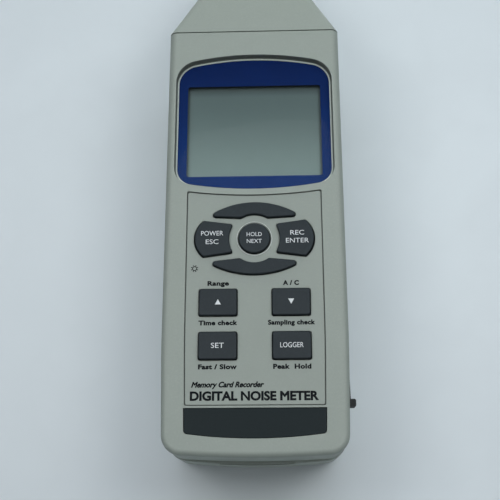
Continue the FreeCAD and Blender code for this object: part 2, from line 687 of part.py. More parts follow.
def rear_shell():
    """Rear half: battery tray, door and stand recesses, tripod boss, screw bosses, card slot."""
    blank = casing_blank("rear_blank", (0, 0, d.corner_round, d.end_radius), d.parting_height, 0)
    body = new_body("rear_shell")
    body.BaseFeature = rounded_blank("rear_rounded", blank, [
        (0, d.rear_round, d.rear_round), (d.parting_height, d.shoulder_side, d.shoulder_end)])
    doc.recompute()
    skin = d.rear_wall - 0.4

    sketch = new_sketch(body, "rear_cavity", offset=d.parting_height)
    cavity_outline(sketch)
    add_pocket(body, sketch, d.parting_height - d.rear_wall)

    sketch = new_sketch(body, "tray", offset=skin)
    rectangle(sketch, -d.tray_half - d.tray_wall, d.tray_low - d.tray_wall,
              d.tray_half + d.tray_wall, d.tray_high + d.tray_wall)
    add_pad(body, sketch, d.tray_ceiling + d.tray_skin - skin)

    sketch = new_sketch(body, "door_boss", offset=skin)
    for y in (d.door_screw_low, d.door_screw_high):
        circle(sketch, 0, y, d.door_boss)
    add_pad(body, sketch, d.door_boss_height)

    sketch = new_sketch(body, "stand_block", offset=skin)
    block_half = d.stand_half + d.stand_block_margin
    rectangle(sketch, -block_half, d.door_high, block_half, d.stand_hinge + d.stand_block_height)
    add_pad(body, sketch, d.stand_block_height)

    sketch = new_sketch(body, "socket_boss", offset=skin)
    circle(sketch, 0, d.tripod_from_end, d.socket_boss)
    add_pad(body, sketch, d.socket_boss_height)

    sketch = new_sketch(body, "rear_case_boss", offset=skin)
    for x, y in CASE_SCREWS:
        circle(sketch, x, y, d.boss_radius)
    add_pad(body, sketch, d.parting_height - skin)

    sketch = new_sketch(body, "board_post", offset=d.tray_ceiling)
    for x, y in BOARD_SCREWS:
        circle(sketch, x, y, d.board_post)
    add_pad(body, sketch, d.main_board_top - d.board_thickness - d.tray_ceiling)

    sketch = new_sketch(body, "door_recess")
    rectangle(sketch, -d.door_half - d.door_gap, d.door_low - d.door_gap,
              d.door_half + d.door_gap, d.door_high + d.door_gap, d.door_round + d.door_gap)
    add_pocket(body, sketch, d.door_thickness, reverse=True)

    sketch = new_sketch(body, "cell_space")
    rectangle(sketch, -d.tray_half, d.tray_low, d.tray_half, d.tray_high)
    add_pocket(body, sketch, d.tray_ceiling, reverse=True)

    sketch = new_sketch(body, "door_pilot")
    for y in (d.door_screw_low, d.door_screw_high):
        circle(sketch, 0, y, d.door_screw_radius + d.bore_play)
    add_pocket(body, sketch, d.pilot_depth, reverse=True)

    sketch = new_sketch(body, "stand_recess")
    rectangle(sketch, -d.stand_half - d.stand_gap, d.stand_low - d.stand_gap,
              d.stand_half + d.stand_gap, d.stand_hinge + d.stand_barrel + d.stand_end_play)
    circle(sketch, 0, d.tripod_from_end, d.socket_boss)
    add_pocket(body, sketch, d.stand_recess_depth, reverse=True)

    sketch = new_sketch(body, "insert_bore")
    circle(sketch, 0, d.tripod_from_end, d.insert_radius)
    add_pocket(body, sketch, d.insert_length, reverse=True)

    sketch = new_sketch(body, "screw_sink")
    for x, y in CASE_SCREWS:
        circle(sketch, x, y, d.screw_head + d.bore_play)
    add_pocket(body, sketch, d.screw_sink, reverse=True)

    sketch = new_sketch(body, "screw_passage")
    for x, y in CASE_SCREWS:
        circle(sketch, x, y, d.screw_shank + d.bore_play)
    add_pocket(body, sketch, d.parting_height, reverse=True)

    sketch = new_sketch(body, "board_pilot", offset=d.main_board_top)
    for x, y in BOARD_SCREWS:
        circle(sketch, x, y, d.board_screw_radius + d.bore_play)
    add_pocket(body, sketch, d.board_pilot_depth)

    hole_half = d.stand_half + d.stand_pin_reach
    sketch = new_sketch(body, "stand_pin_hole", "YZ_Plane", -hole_half)
    circle(sketch, d.stand_hinge, d.stand_axis, d.stand_pin)
    add_pocket(body, sketch, 2 * hole_half, reverse=True)

    sketch = new_sketch(body, "card_slot", "XZ_Plane", 1)
    rectangle(sketch, -d.slot_half, d.slot_low, d.slot_half, d.slot_high)
    add_pocket(body, sketch, d.slot_depth)
    return body


def section(sketch, half, low, high, front_round, rear_round):
    """Cross-section of the cone: a rectangle with its own roundings at the front and the rear."""
    outline(sketch, [
        (-half, low, rear_round, 0, 0),
        (half, low, rear_round, 0, 0),
        (half, high, front_round, 0, 0),
        (-half, high, front_round, 0, 0),
    ])


def mic_cone():
    """Hollow cone from the casing's section to the neck, with a spigot that enters the casing."""
    body = new_body("mic_cone")
    half = d.body_width / 2 - d.shell_reveal
    base = new_sketch(body, "cone_base", "XZ_Plane", -d.body_length)
    section(base, half, 0, d.body_depth, d.front_round, d.rear_round)
    neck = new_sketch(body, "cone_neck", "XZ_Plane", -d.neck_y)
    section(neck, d.neck_width / 2, d.neck_low, d.neck_high, d.neck_round, d.neck_round)
    doc.recompute()
    loft = body.newObject("PartDesign::AdditiveLoft", "cone_loft")
    loft.Profile = base
    loft.Sections = [neck]
    loft.Ruled = True
    doc.recompute()

    wall = d.cone_wall
    hollow_base = new_sketch(body, "hollow_base", "XZ_Plane", -d.body_length)
    section(hollow_base, half - wall, wall, d.body_depth - wall, 1.5, 2.5)
    hollow_neck = new_sketch(body, "hollow_neck", "XZ_Plane", -d.neck_y + d.neck_wall)
    inset = wall + 0.3
    grow = d.neck_wall * (half - d.neck_width / 2) / (d.neck_y - d.body_length)
    section(hollow_neck, d.neck_width / 2 + grow - inset, d.neck_low + inset - 1,
            d.neck_high - inset + 0.5, 4.5, 4.5)
    doc.recompute()
    before = body.Shape.Volume
    hollow = body.newObject("PartDesign::SubtractiveLoft", "cone_hollow")
    hollow.Profile = hollow_base
    hollow.Sections = [hollow_neck]
    hollow.Ruled = True
    doc.recompute()
    if body.Shape.Volume > before - 1:
        raise ValueError("the cone isn't hollow")

    outer = d.body_width / 2 - d.side_wall - d.spigot_play
    low = d.rear_wall + d.spigot_play
    high = d.body_depth - d.front_wall - d.spigot_play
    sketch = new_sketch(body, "spigot", "XZ_Plane", -d.body_length - 0.5)
    rectangle(sketch, -outer, low, outer, high)
    inner = outer - d.spigot_wall
    rectangle(sketch, -inner, low + d.spigot_wall, inner, high - d.spigot_wall)
    add_pad(body, sketch, d.spigot_length + 0.5)

    sketch = new_sketch(body, "neck_bore", "XZ_Plane", -d.neck_y)
    circle(sketch, 0, d.axis_height, d.foot_radius)
    add_pocket(body, sketch, d.neck_wall + 1, reverse=True)
    return body


def turned(label, profile):
    """A piece turned about the microphone's axis. The profile is a list of (radius, y)."""
    body = new_body(label)
    bind(body, "Placement.Base.z", d.axis_height)
    sketch = new_sketch(body, label + "_profile")
    outline(sketch, [(radius, y, 0, 0, 0) for radius, y in profile])
    add_revolution(body, sketch)
    return body


def mic_collar():
    """Ribbed collar around the tube, in front of the cone's neck."""
    start, end = d.neck_y, d.neck_y + d.collar_length
    body = turned("mic_collar", [
        (d.foot_radius, start + d.seal_depth), (d.seal_radius, start + d.seal_depth),
        (d.seal_radius, start), (d.collar_radius, start),
        (d.collar_radius, end - d.collar_slope), (d.collar_radius - d.collar_slope, end),
        (d.foot_radius, end)])
    sketch = new_sketch(body, "collar_groove", "XZ_Plane", -start - 1)
    circle(sketch, d.collar_radius + d.groove_offset, 0, d.groove_radius)
    groove = add_pocket(body, sketch, d.collar_length - 2.4)
    add_pattern(body, groove, (sketch, ["N_Axis"]), d.collar_grooves)
    return body


def mic_tube():
    """Half-inch microphone barrel on a narrower foot, which the collar and the neck hold."""
    radius, bore = d.tube_radius, d.tube_radius - d.tube_wall
    foot, foot_bore = d.foot_radius, d.foot_radius - d.foot_wall
    shoulder = d.neck_y + d.collar_length + d.shoulder_gap
    return turned("mic_tube", [
        (foot_bore, d.tube_start), (foot, d.tube_start), (foot, shoulder), (radius, shoulder),
        (radius, d.tube_end), (bore, d.tube_end), (bore, shoulder + d.shoulder_length),
        (foot_bore, shoulder + d.shoulder_length)])


def mic_capsule():
    """Capsule housing inside the barrel, with a centre contact at its foot."""
    radius = d.tube_radius - d.tube_wall - d.capsule_play
    start, end = d.capsule_start, d.capsule_end
    return turned("mic_capsule", [
        (0, start - 3), (1, start - 3), (1, start), (radius, start), (radius, end),
        (radius - 0.7, end), (radius - 0.7, end - 0.5), (0, end - 0.5)])


def mic_diaphragm():
    """Thin foil disc on the capsule's rim."""
    radius = d.tube_radius - d.tube_wall - d.capsule_play - 0.1
    return turned("mic_diaphragm", [
        (0, d.capsule_end), (radius, d.capsule_end), (radius, d.capsule_end + 0.1),
        (0, d.capsule_end + 0.1)])


def mic_grille():
    """Protection grid: a cap with slots around its side and across its end."""
    radius, bore, end = d.tube_radius, d.tube_radius - d.tube_wall, d.tip_y
    body = turned("mic_grille", [
        (bore, d.tube_end), (radius, d.tube_end), (radius, end - 0.5), (radius - 0.5, end),
        (0, end), (0, end - 0.8), (bore, end - 0.8)])
    slot = new_sketch(body, "side_slot", "YZ_Plane", 0)
    rectangle(slot, d.capsule_end + 0.6, -0.45, end - 1.5, 0.45)
    cut = add_pocket(body, slot, radius + 1, reverse=True)
    axis = next(item for item in body.Origin.OriginFeatures if item.Role == "Y_Axis")
    add_pattern(body, cut, (axis, [""]), d.grille_slots)
    slot = new_sketch(body, "end_slot", "XZ_Plane", -end - 1)
    rectangle(slot, 1.1, -0.4, radius - 1.5, 0.4)
    cut = add_pocket(body, slot, 3, reverse=True)
    add_pattern(body, cut, (axis, [""]), d.grille_slots)
    return body


def mic_seal():
    """Square-section rubber ring between the collar and the neck."""
    low, high = d.neck_y + d.seal_play, d.neck_y + d.seal_depth - d.seal_play
    outer = d.seal_radius - d.seal_play
    return turned("mic_seal", [
        (d.foot_radius, low), (outer, low), (outer, high), (d.foot_radius, high)])


# ---- display ----

def plate(label, draw, low, thickness, openings=()):
    """A flat piece with an outline, and openings drawn in the same sketch."""
    body = new_body(label)
    sketch = new_sketch(body, label + "_plan", offset=low)
    draw(sketch)
    for opening in openings:
        opening(sketch)
    add_pad(body, sketch, thickness)
    return body


def display_stack():
    """Lens, its printed border, the liquid crystal cell and what carries and lights it."""
    floor = d.body_depth - d.lens_sink

    def border_window(sketch):
        rectangle(sketch, -d.window_half, d.window_low, d.window_half, d.window_high,
                  d.window_round)

    plate("display_border", lambda sketch: display_outline(sketch, d.print_margin), floor,
          d.print_thickness, [border_window])
    lens = plate("display_lens", lambda sketch: display_outline(sketch, d.lens_gap),
                 floor + d.print_thickness, d.lens_thickness)
    top = lies_at_height(floor + d.print_thickness + d.lens_thickness)
    add_fillet(lens, edge_names(lens.Tip.Shape, top), 0.25, "Chamfer")

    glass_low = d.glass_top - d.glass_thickness
    play, wall = d.frame_play, d.frame_wall
    outer = d.glass_half + play + wall
    frame_low = d.mat_top - d.frame_depth
    frame = plate("display_frame", lambda sketch: rectangle(
        sketch, -outer, d.glass_low - play - wall, outer, d.glass_high + play + wall, wall),
        frame_low, d.body_depth - d.front_wall - frame_low)
    sketch = new_sketch(frame, "frame_bed", offset=frame_low)
    rectangle(sketch, -d.glass_half - play, d.glass_low - play, d.glass_half + play,
              d.glass_high + play)
    add_pocket(frame, sketch, d.glass_top - frame_low, reverse=True)
    sketch = new_sketch(frame, "frame_window", offset=d.body_depth)
    margin = d.window_margin
    rectangle(sketch, -d.window_half - margin, d.window_low - margin, d.window_half + margin,
              d.window_high + margin)
    add_pocket(frame, sketch, d.body_depth - frame_low)

    sub_part(add_box("lcd_glass", (-d.glass_half, d.glass_low, glass_low),
                     (d.glass_half, d.glass_high, d.glass_top)))
    sub_part(add_box("backlight_panel", (-d.glass_half + 1, d.glass_low + 3, glass_low - 1.6),
                     (d.glass_half - 1, d.glass_high - 3, glass_low)))
    strips = []
    width = d.strip_contact_width
    for name, y in (("low", d.glass_low + 0.3), ("high", d.glass_high - 0.3 - width)):
        strips.append(add_box("zebra_" + name, (-d.glass_half + width, y, frame_low),
                              (d.glass_half - width, y + width, glass_low)))
    add_group("contact_strips", strips)
    board_half = d.glass_half + wall
    sub_part(add_box("display_board", (-board_half, d.glass_low - wall,
                                       frame_low - d.board_thickness),
                     (board_half, d.glass_high + wall, frame_low)))


# ---- keypad ----

def keypad():
    """Panel, strip, nine keys, the rubber mat under them and the board that carries it."""
    gap = d.key_gap + d.opening_play
    openings = [lambda sketch, draw=draw: draw(sketch, gap) for draw in KEYS.values()]
    floor = d.body_depth - d.panel_sink
    panel = plate("keypad_panel", lambda sketch: panel_outline(sketch, d.panel_gap), floor,
                  d.panel_thickness, openings)
    ring = new_sketch(panel, "embossed_ring", offset=floor + d.panel_thickness)
    circle(ring, 0, d.rosette_y, d.ring_radius)
    circle(ring, 0, d.rosette_y, d.ring_radius - d.ring_width)
    add_pad(panel, ring, d.ring_height)
    strip = plate("lower_strip", lambda sketch: strip_outline(sketch, d.strip_gap),
                  d.body_depth - d.strip_sink, d.strip_thickness)
    top = lies_at_height(d.body_depth - d.strip_sink + d.strip_thickness)
    add_fillet(strip, edge_names(strip.Tip.Shape, top), 0.15, "Chamfer")

    flange_top = d.body_depth - d.front_wall - d.flange_drop
    key_top = d.body_depth + d.key_height
    for label, draw in KEYS.items():
        key = plate(label, lambda sketch: draw(sketch, 0), flange_top - d.flange_thickness,
                    key_top - flange_top + d.flange_thickness)
        crown = edge_names(key.Tip.Shape, lies_at_height(key_top))
        add_fillet(key, crown, d.key_edge)
        flange = new_sketch(key, label + "_flange", offset=flange_top - d.flange_thickness)
        draw(flange, d.key_flange)
        add_pad(key, flange, d.flange_thickness)

    mat_low = d.mat_top - d.mat_thickness
    mat = plate("keypad_mat", lambda sketch: rectangle(
        sketch, -d.mat_half, d.keypad_board_low + d.mat_margin, d.mat_half,
        d.keypad_board_high - d.mat_margin, d.mat_round), mat_low, d.mat_thickness)
    domes = new_sketch(mat, "dome", offset=d.mat_top)
    for x, y in DOMES:
        circle(domes, x, y, d.dome_radius)
    add_pad(mat, domes, d.dome_height)

    board = plate("keypad_board", lambda sketch: rectangle(
        sketch, -d.keypad_board_half, d.keypad_board_low, d.keypad_board_half,
        d.keypad_board_high, 1), mat_low - d.board_thickness, d.board_thickness,
        [lambda sketch: [circle(sketch, x, y, d.keypad_screw_radius + d.bore_play)
                         for x, y in KEYPAD_SCREWS]])
    length = d.board_thickness + d.keypad_pilot_depth - 0.4
    screws = [screw(f"keypad_screw_{i}", x, y, mat_low - d.board_thickness, d.keypad_screw_radius,
                    length, d.keypad_screw_head, d.keypad_head_height)
              for i, (x, y) in enumerate(KEYPAD_SCREWS)]
    add_group("keypad_screws", screws)
    return board


DOMES = [(0, d.rosette_y), (-d.side_dome_x, d.rosette_y), (d.side_dome_x, d.rosette_y),
         (0, d.rosette_y + d.arc_dome_y), (0, d.rosette_y - d.arc_dome_y)]
DOMES += [(side * d.push_key_x, y) for side in (-1, 1) for y in (d.upper_key_y, d.lower_key_y)]


def screw(label, x, y, head_top, shank, shank_length, head, head_height):
    """Cross-head screw that points towards the front: its head is below head_top."""
    body = doc.addObject("PartDesign::Body", label)
    place(body, (x, y, head_top))
    profile = new_sketch(body, label + "_profile", "XZ_Plane")
    outline(profile, [
        (0, shank_length, 0, 0, 0), (0, -head_height, 0, 0, 0), (head - 0.4, -head_height, 0, 0, 0),
        (head, -head_height + 0.4, 0, 0, 0), (head, 0, 0, 0, 0), (shank, 0, 0, 0, 0),
        (shank, shank_length - 0.5, 0, 0, 0), (shank - 0.5, shank_length, 0, 0, 0)])
    add_revolution(body, profile)
    cross = new_sketch(body, label + "_cross", offset=-head_height)
    long, wide = head * 0.6, head * 0.16
    outline(cross, [(x_part * across, y_part * along, 0, 0, 0)
                    for x_part, y_part, across, along in (
                        (-1, -1, long, wide), (-1, -1, wide, wide), (-1, -1, wide, long),
                        (1, -1, wide, long), (1, -1, wide, wide), (1, -1, long, wide),
                        (1, 1, long, wide), (1, 1, wide, wide), (1, 1, wide, long),
                        (-1, 1, wide, long), (-1, 1, wide, wide), (-1, 1, long, wide))])
    add_pocket(body, cross, head_height * 0.6, reverse=True)
    return body


# ---- boards ----

def boards():
    """Main board with its parts, preamplifier board, and the leads between the boards."""
    low = d.main_board_top - d.board_thickness
    half = d.main_board_half

    def board_plan(sketch):
        outline(sketch, [
            (-half, d.main_board_low, 0, 0, 0), (half, d.main_board_low, 0, 0, 0),
            (half, d.port_low - 0.5, 0, 0, 0), (half + 6, d.port_low - 0.5, 0, 0, 0),
            (half + 6, d.port_high - 1, 0, 0, 0), (half, d.port_high - 1, 0, 0, 0),
            (half, d.main_board_high, 0, 0, 0), (-half, d.main_board_high, 0, 0, 0)])

    plate("main_board", board_plan, low, d.board_thickness, [
        lambda sketch: [circle(sketch, x, y, d.board_screw_radius + d.bore_play)
                        for x, y in BOARD_SCREWS]])
    screws = []
    for i, (x, y) in enumerate(BOARD_SCREWS):
        fastener = screw(f"board_screw_{i}", x, y, d.main_board_top, d.board_screw_radius,
                         d.board_screw_length, d.board_screw_head, d.board_head_height)
        fastener.Placement = Placement(fastener.Placement.Base, Rotation(Vector(1, 0, 0), 180))
        screws.append(fastener)
    add_group("board_screws", screws)

    top = d.main_board_top
    chips = []
    for name, x, y, wide, long, high in (
            ("processor", -9, 74, 14, 14, 1.6), ("converter", 8, 108, 10, 8, 1.5),
            ("memory", 9, 80, 8, 5, 1.2), ("clock", -16, 94, 5, 4, 1.2),
            ("amplifier", -8, 112, 6, 5, 1.5), ("regulator", -15, 20, 6, 6, 2.2),
            ("driver", 2, 56, 7, 5, 1.3)):
        chips.append(add_box(name, (x, y, top), (x + wide, y + long, top + high)))
    add_group("board_chips", chips)
    shield = add_box("shield_block", (-13, 124, top), (13, 148, top + 5))
    room = add_box("shield_room", (-12.6, 124.4, top - 1), (12.6, 147.6, top + 4.6))
    add_cut("shield_can", shield, [room])
    sub_part(add_cylinder("buzzer", (-15, 40, top), 6, 5))

    display_low = d.mat_top - d.frame_depth - d.board_thickness
    sub_part(add_box("display_ribbon", (-12, 119.6, top), (12, 120, display_low)))
    keypad_low = d.mat_top - d.mat_thickness - d.board_thickness
    sub_part(add_box("keypad_ribbon", (-9, 95, top), (9, 95.4, keypad_low)))

    sub_part(add_box("preamp_board", (-8, d.body_length + 2, 25.4), (8, d.tube_start - 1.5, 27)))
    lead = doc.addObject("Part::Feature", "mic_lead")
    lead.Label = "mic_lead"
    seam = float(d.body_length)
    start, bend, end = (Vector(0, seam + shift, height)
                        for shift, height in ((1.0, 26.2), (-4.0, 26.2), (-9.0, 24.8)))
    lead.Shape = tube_along([start, bend, end], 0.9)
    bind(lead, "Placement.Base.y", -d.tripod_from_end)
    sub_part(lead)


def tube_along(points, radius):
    """Round lead along straight runs joined by one tangent arc."""
    start, bend, end = points
    first = (start - bend).normalize()
    second = (end - bend).normalize()
    half_angle = first.getAngle(second) / 2
    reach = 0.45 * min((start - bend).Length, (end - bend).Length)
    centre_line = (first + second).normalize()
    middle = bend + centre_line * (reach / math.cos(half_angle) - reach * math.tan(half_angle))
    near, far = bend + first * reach, bend + second * reach
    wire = Part.Wire([Part.makeLine(start, near), Part.Arc(near, middle, far).toShape(),
                      Part.makeLine(far, end)])
    ring = Part.Wire([Part.makeCircle(radius, start, bend - start)])
    return wire.makePipeShell([ring], True, False)


# ---- rear pieces ----

def battery_door():
    body = plate("battery_door", lambda sketch: rectangle(
        sketch, -d.door_half, d.door_low, d.door_half, d.door_high, d.door_round), 0,
        d.door_thickness)
    add_fillet(body, edge_names(body.Tip.Shape, lies_at_height(0)), d.edge_break, "Chamfer")
    sinks = new_sketch(body, "door_sink")
    holes = new_sketch(body, "door_hole")
    for y in (d.door_screw_low, d.door_screw_high):
        circle(sinks, 0, y, d.door_sink)
        circle(holes, 0, y, d.door_screw_radius)
    add_pocket(body, sinks, d.door_sink_depth, reverse=True)
    add_pocket(body, holes, d.door_thickness, reverse=True)
    grip = new_sketch(body, "door_grip")
    rectangle(grip, -d.grip_half, d.grip_low, d.grip_half, d.grip_low + d.grip_width)
    groove = add_pocket(body, grip, d.grip_depth, reverse=True)
    rows = body.newObject("PartDesign::LinearPattern", "door_grip_rows")
    rows.Originals = [groove]
    rows.Direction = (grip, ["V_Axis"])
    bind(rows, "Length", d.grip_span)
    bind(rows, "Occurrences", d.grip_rows)
    body.Tip = rows
    doc.recompute()

    screws = []
    for i, y in enumerate((d.door_screw_low, d.door_screw_high)):
        screws.append(screw(f"door_screw_{i}", 0, y, d.door_sink_depth, d.door_screw_radius,
                            d.door_screw_length, d.door_screw_head, d.door_head_height))
    add_group("door_screws", screws)


def battery_parts():
    """Six cells in three rows of two, with a spring and a contact plate at each end of a row."""
    height = d.cell_floor + d.cell_radius
    cells, springs, contacts = [], [], []
    for column, heading in ((-1, 1), (0, -1), (1, 1)):
        x = column * d.cell_pitch
        if heading > 0:
            first = d.tray_low + d.contact_thickness + d.spring_length
        else:
            first = d.tray_low + d.contact_thickness + 0.1
        for place_in_row in range(2):
            foot = first + place_in_row * d.cell_length
            cells.append(cell(f"cell_{column + 1}_{place_in_row}", x, foot, height, heading))
        near = d.tray_low + d.contact_thickness
        far = d.tray_high - d.contact_thickness
        spring_foot = near if heading > 0 else far - d.spring_length
        springs.append(coil_spring(f"spring_{column + 1}", x, spring_foot, height))
        for name, y in (("near", d.tray_low), ("far", far)):
            half = d.contact_half
            contacts.append(add_box(f"contact_{name}_{column + 1}", (x - half, y, height - half),
                                    (x + half, y + d.contact_thickness, height + half)))
    add_group("battery_cells", cells)
    add_group("battery_springs", springs)
    add_group("battery_contacts", contacts)


def cell(label, x, foot, height, heading):
    """One cell, its positive end towards the microphone (heading 1) or away from it (-1)."""
    body = doc.addObject("PartDesign::Body", label)
    start = foot if heading > 0 else foot + d.cell_length
    place(body, (x, start, height))
    profile = new_sketch(body, label + "_profile")
    can = d.cell_length - d.cell_nub
    outline(profile, [(radius, heading * y, 0, 0, 0) for radius, y in (
        (0, 0), (d.cell_radius - 0.5, 0), (d.cell_radius, 0.5), (d.cell_radius, can - 0.5),
        (d.cell_radius - 0.5, can), (d.cell_nub_radius, can), (d.cell_nub_radius, d.cell_length),
        (0, d.cell_length))])
    add_revolution(body, profile)
    return body


def coil_spring(label, x, foot, height):
    """Compression spring of round wire, along the row of cells."""
    spring = doc.addObject("Part::Feature", label)
    wire_radius = float(d.spring_wire)
    radius = float(d.spring_radius) - wire_radius
    rise = float(d.spring_length) - 2.1 * wire_radius
    helix = Part.makeHelix(rise / 2.5, rise, radius)
    ring = Part.Wire([Part.makeCircle(wire_radius, Vector(radius, 0, 0), Vector(0, 1, 0))])
    spring.Shape = Part.Wire(helix.Edges).makePipeShell([ring], True, True)
    spring.Placement = Placement(Vector(), Rotation(Vector(1, 0, 0), -90))
    place(spring, (x, foot + 1.05 * d.spring_wire, height))
    return spring


def tilt_stand():
    """Flat stand in the rear face, with a window round the tripod socket and a hinge barrel."""
    low = d.stand_axis - d.stand_barrel
    body = plate("tilt_stand", lambda sketch: rectangle(
        sketch, -d.stand_half, d.stand_low, d.stand_half, d.stand_hinge), low, d.stand_thickness,
        [lambda sketch: rectangle(sketch, -d.stand_window, d.stand_window_low, d.stand_window,
                                  d.stand_window_high, d.stand_window_round)])
    barrel = new_sketch(body, "stand_barrel_end", "YZ_Plane", -d.stand_half)
    circle(barrel, d.stand_hinge, d.stand_axis, d.stand_barrel)
    add_pad(body, barrel, 2 * d.stand_half)
    bore = new_sketch(body, "stand_bore", "YZ_Plane", -d.stand_half - 1)
    circle(bore, d.stand_hinge, d.stand_axis, d.stand_pin + d.bore_play)
    add_pocket(body, bore, 2 * d.stand_half + 2, reverse=True)
    grip = new_sketch(body, "stand_grip", offset=low)
    rectangle(grip, -7, d.stand_low + 0.8, 7, d.stand_low + 1.4)
    add_pocket(body, grip, d.grip_depth, reverse=True)
    pin_half = d.stand_half + d.stand_pin_reach - 0.1
    sub_part(add_cylinder("stand_pin", (-pin_half, d.stand_hinge, d.stand_axis), d.stand_pin,
                          2 * pin_half, "x"))


def tripod_insert():
    """Threaded brass insert, drawn with its thread's major radius as a plain bore."""
    outer = add_cylinder("insert_body", (0, d.tripod_from_end, 0), d.insert_radius,
                         d.insert_length)
    bore = add_cylinder("insert_thread", (0, d.tripod_from_end, -1), d.socket_radius,
                        d.thread_length + 1)
    add_cut("tripod_insert", outer, [bore])


def case_screws():
    screws = [screw(f"case_screw_{i}", x, y, d.screw_sink, d.screw_shank, d.case_screw_length,
                    d.screw_head, d.screw_head_height) for i, (x, y) in enumerate(CASE_SCREWS)]
    add_group("case_screws", screws)


# ---- ports ----

def port_cover():
    """Rubber flap over the sockets, on a pin at its upper end, with a pull tab at its free end."""
    low, high = d.parting_height + d.cover_gap, d.port_top - d.cover_gap
    outer = d.cover_hinge_x + d.cover_barrel
    inner = outer - d.cover_thickness + 0.15
    body = new_body("port_cover")
    flap = new_sketch(body, "flap", offset=low)
    outline(flap, [
        (inner, d.port_low + d.cover_gap, 0, 0, 0),
        (outer + d.cover_flare, d.port_low + d.cover_gap, 0, 0, 0),
        (outer, d.cover_hinge_y, 0, 0, 0), (inner, d.cover_hinge_y, 0, 0, 0)])
    add_pad(body, flap, high - low)
    barrel = new_sketch(body, "cover_barrel", offset=low)
    circle(barrel, d.cover_hinge_x, d.cover_hinge_y, d.cover_barrel)
    add_pad(body, barrel, high - low)
    tab = new_sketch(body, "tab", offset=d.port_axis - d.tab_height / 2)
    rectangle(tab, outer - 0.2, d.tab_low, d.tab_reach, d.tab_low + d.tab_length)
    add_pad(body, tab, d.tab_height)
    tip = edge_names(body.Tip.Shape, lambda edge: edge.BoundBox.XMin > float(d.tab_reach) - 1e-3)
    add_fillet(body, tip, d.tab_round)
    bore = new_sketch(body, "cover_bore", offset=low - 1)
    circle(bore, d.cover_hinge_x, d.cover_hinge_y, d.cover_pin + d.bore_play)
    add_pocket(body, bore, high - low + 2, reverse=True)
    sub_part(add_cylinder("port_cover_pin", (d.cover_hinge_x, d.cover_hinge_y, d.parting_height),
                          d.cover_pin, d.port_top - d.parting_height + d.cover_pin_reach))


def jack(label, y, nose_radius, bore_radius):
    """A panel jack: a block on the board, and a round nose that reaches into the port recess."""
    half = nose_radius + 0.6
    block_high = d.port_axis + half
    block_end = d.body_width / 2 - d.side_wall - 0.3
    body = new_body(label)
    block = new_sketch(body, label + "_block", offset=d.main_board_top)
    rectangle(block, block_end - d.jack_depth, y - half, block_end, y + half)
    add_pad(body, block, block_high - d.main_board_top)
    nose = new_sketch(body, label + "_nose", "YZ_Plane", block_end)
    circle(nose, y, d.port_axis, nose_radius)
    add_pad(body, nose, d.nose_end - block_end)
    bore = new_sketch(body, label + "_bore", "YZ_Plane", d.nose_end)
    circle(bore, y, d.port_axis, bore_radius)
    add_pocket(body, bore, d.jack_depth)
    return body


def ports():
    jack("power_jack", d.power_y, d.power_nose, d.power_radius)
    jack("output_jack", d.output_y, d.jack_nose, d.jack_radius)
    jack("data_jack", d.data_y, d.jack_nose, d.jack_radius)
    sub_part(add_cylinder("power_jack_pin", (d.nose_end - d.jack_depth, d.power_y, d.port_axis),
                          1.0, d.jack_depth - 1, "x"))

    end = d.nose_end - 2.2
    sub_part(add_box("trimmer_body", (end - 5, d.trimmer_y - 2.2, d.main_board_top),
                     (end, d.trimmer_y + 1.9, d.port_axis + 2.4)))
    rotor = add_cylinder("rotor_blank", (end, d.trimmer_y, d.port_axis), d.trimmer_radius,
                         d.nose_end - end, "x")
    slot = add_box("rotor_slot", (d.nose_end - 0.6, d.trimmer_y - 2, d.port_axis - 0.25),
                   (d.nose_end + 1, d.trimmer_y + 2, d.port_axis + 0.25))
    add_cut("trimmer_rotor", rotor, [slot])
    stem_foot = end - 1.2
    switch = add_box("switch_block", (end - 5, d.reset_y - 1.9, d.main_board_top),
                     (end, d.reset_y + 1.9, d.port_axis + 2.0))
    well = add_cylinder("switch_well", (stem_foot - d.reset_travel - 0.1, d.reset_y, d.port_axis),
                        d.reset_radius + d.bore_play, 4, "x")
    add_cut("reset_switch", switch, [well])
    sub_part(add_cylinder("reset_button", (stem_foot, d.reset_y, d.port_axis), d.reset_radius,
                          d.nose_end - stem_foot, "x"))


def memory_card():
    """Card and its socket above the battery tray."""
    play = d.card_play
    half = d.card_width / 2
    top = d.card_floor + d.card_thickness
    end = d.card_low + d.card_length
    block = add_box("socket_block", (-half - 1.3, 4.0, d.tray_ceiling + d.tray_skin),
                    (half + 1.3, end + 1.6, d.main_board_top - d.board_thickness))
    room = add_box("socket_room", (-half - play, 3, d.card_floor - play),
                   (half + play, end + 0.4, top + play))
    add_cut("card_socket", block, [room])

    card = plate("memory_card", lambda sketch: outline(sketch, [
        (-half, d.card_low, 0.8, 0, 0), (half, d.card_low, 0.8, 0, 0),
        (half, end, 0.4, 0, 0), (-half + 4, end, 0, 0, 0), (-half, end - 4, 0, 0, 0)]),
        d.card_floor, d.card_thickness)
    grip = new_sketch(card, "card_grip", offset=top)
    rectangle(grip, -half + 4, d.card_low + 1.2, half - 4, d.card_low + 2.0)
    add_pocket(card, grip, 0.3)


# ---- all of it ----

def write_parts():
    """Checks every object, then writes each sub-part under its own name."""
    for item in doc.Objects:
        if "Invalid" in item.State or "Error" in item.State:
            raise ValueError(f"{item.Name} failed: {item.State}")
    os.makedirs("parts", exist_ok=True)
    for item in sub_parts:
        if item.Shape.isNull() or not item.Shape.isValid():
            raise ValueError(f"{item.Label} has no valid shape")
        item.Shape.exportStep(f"parts/{item.Label}.step")
    print(f"{len(sub_parts)} sub-parts")


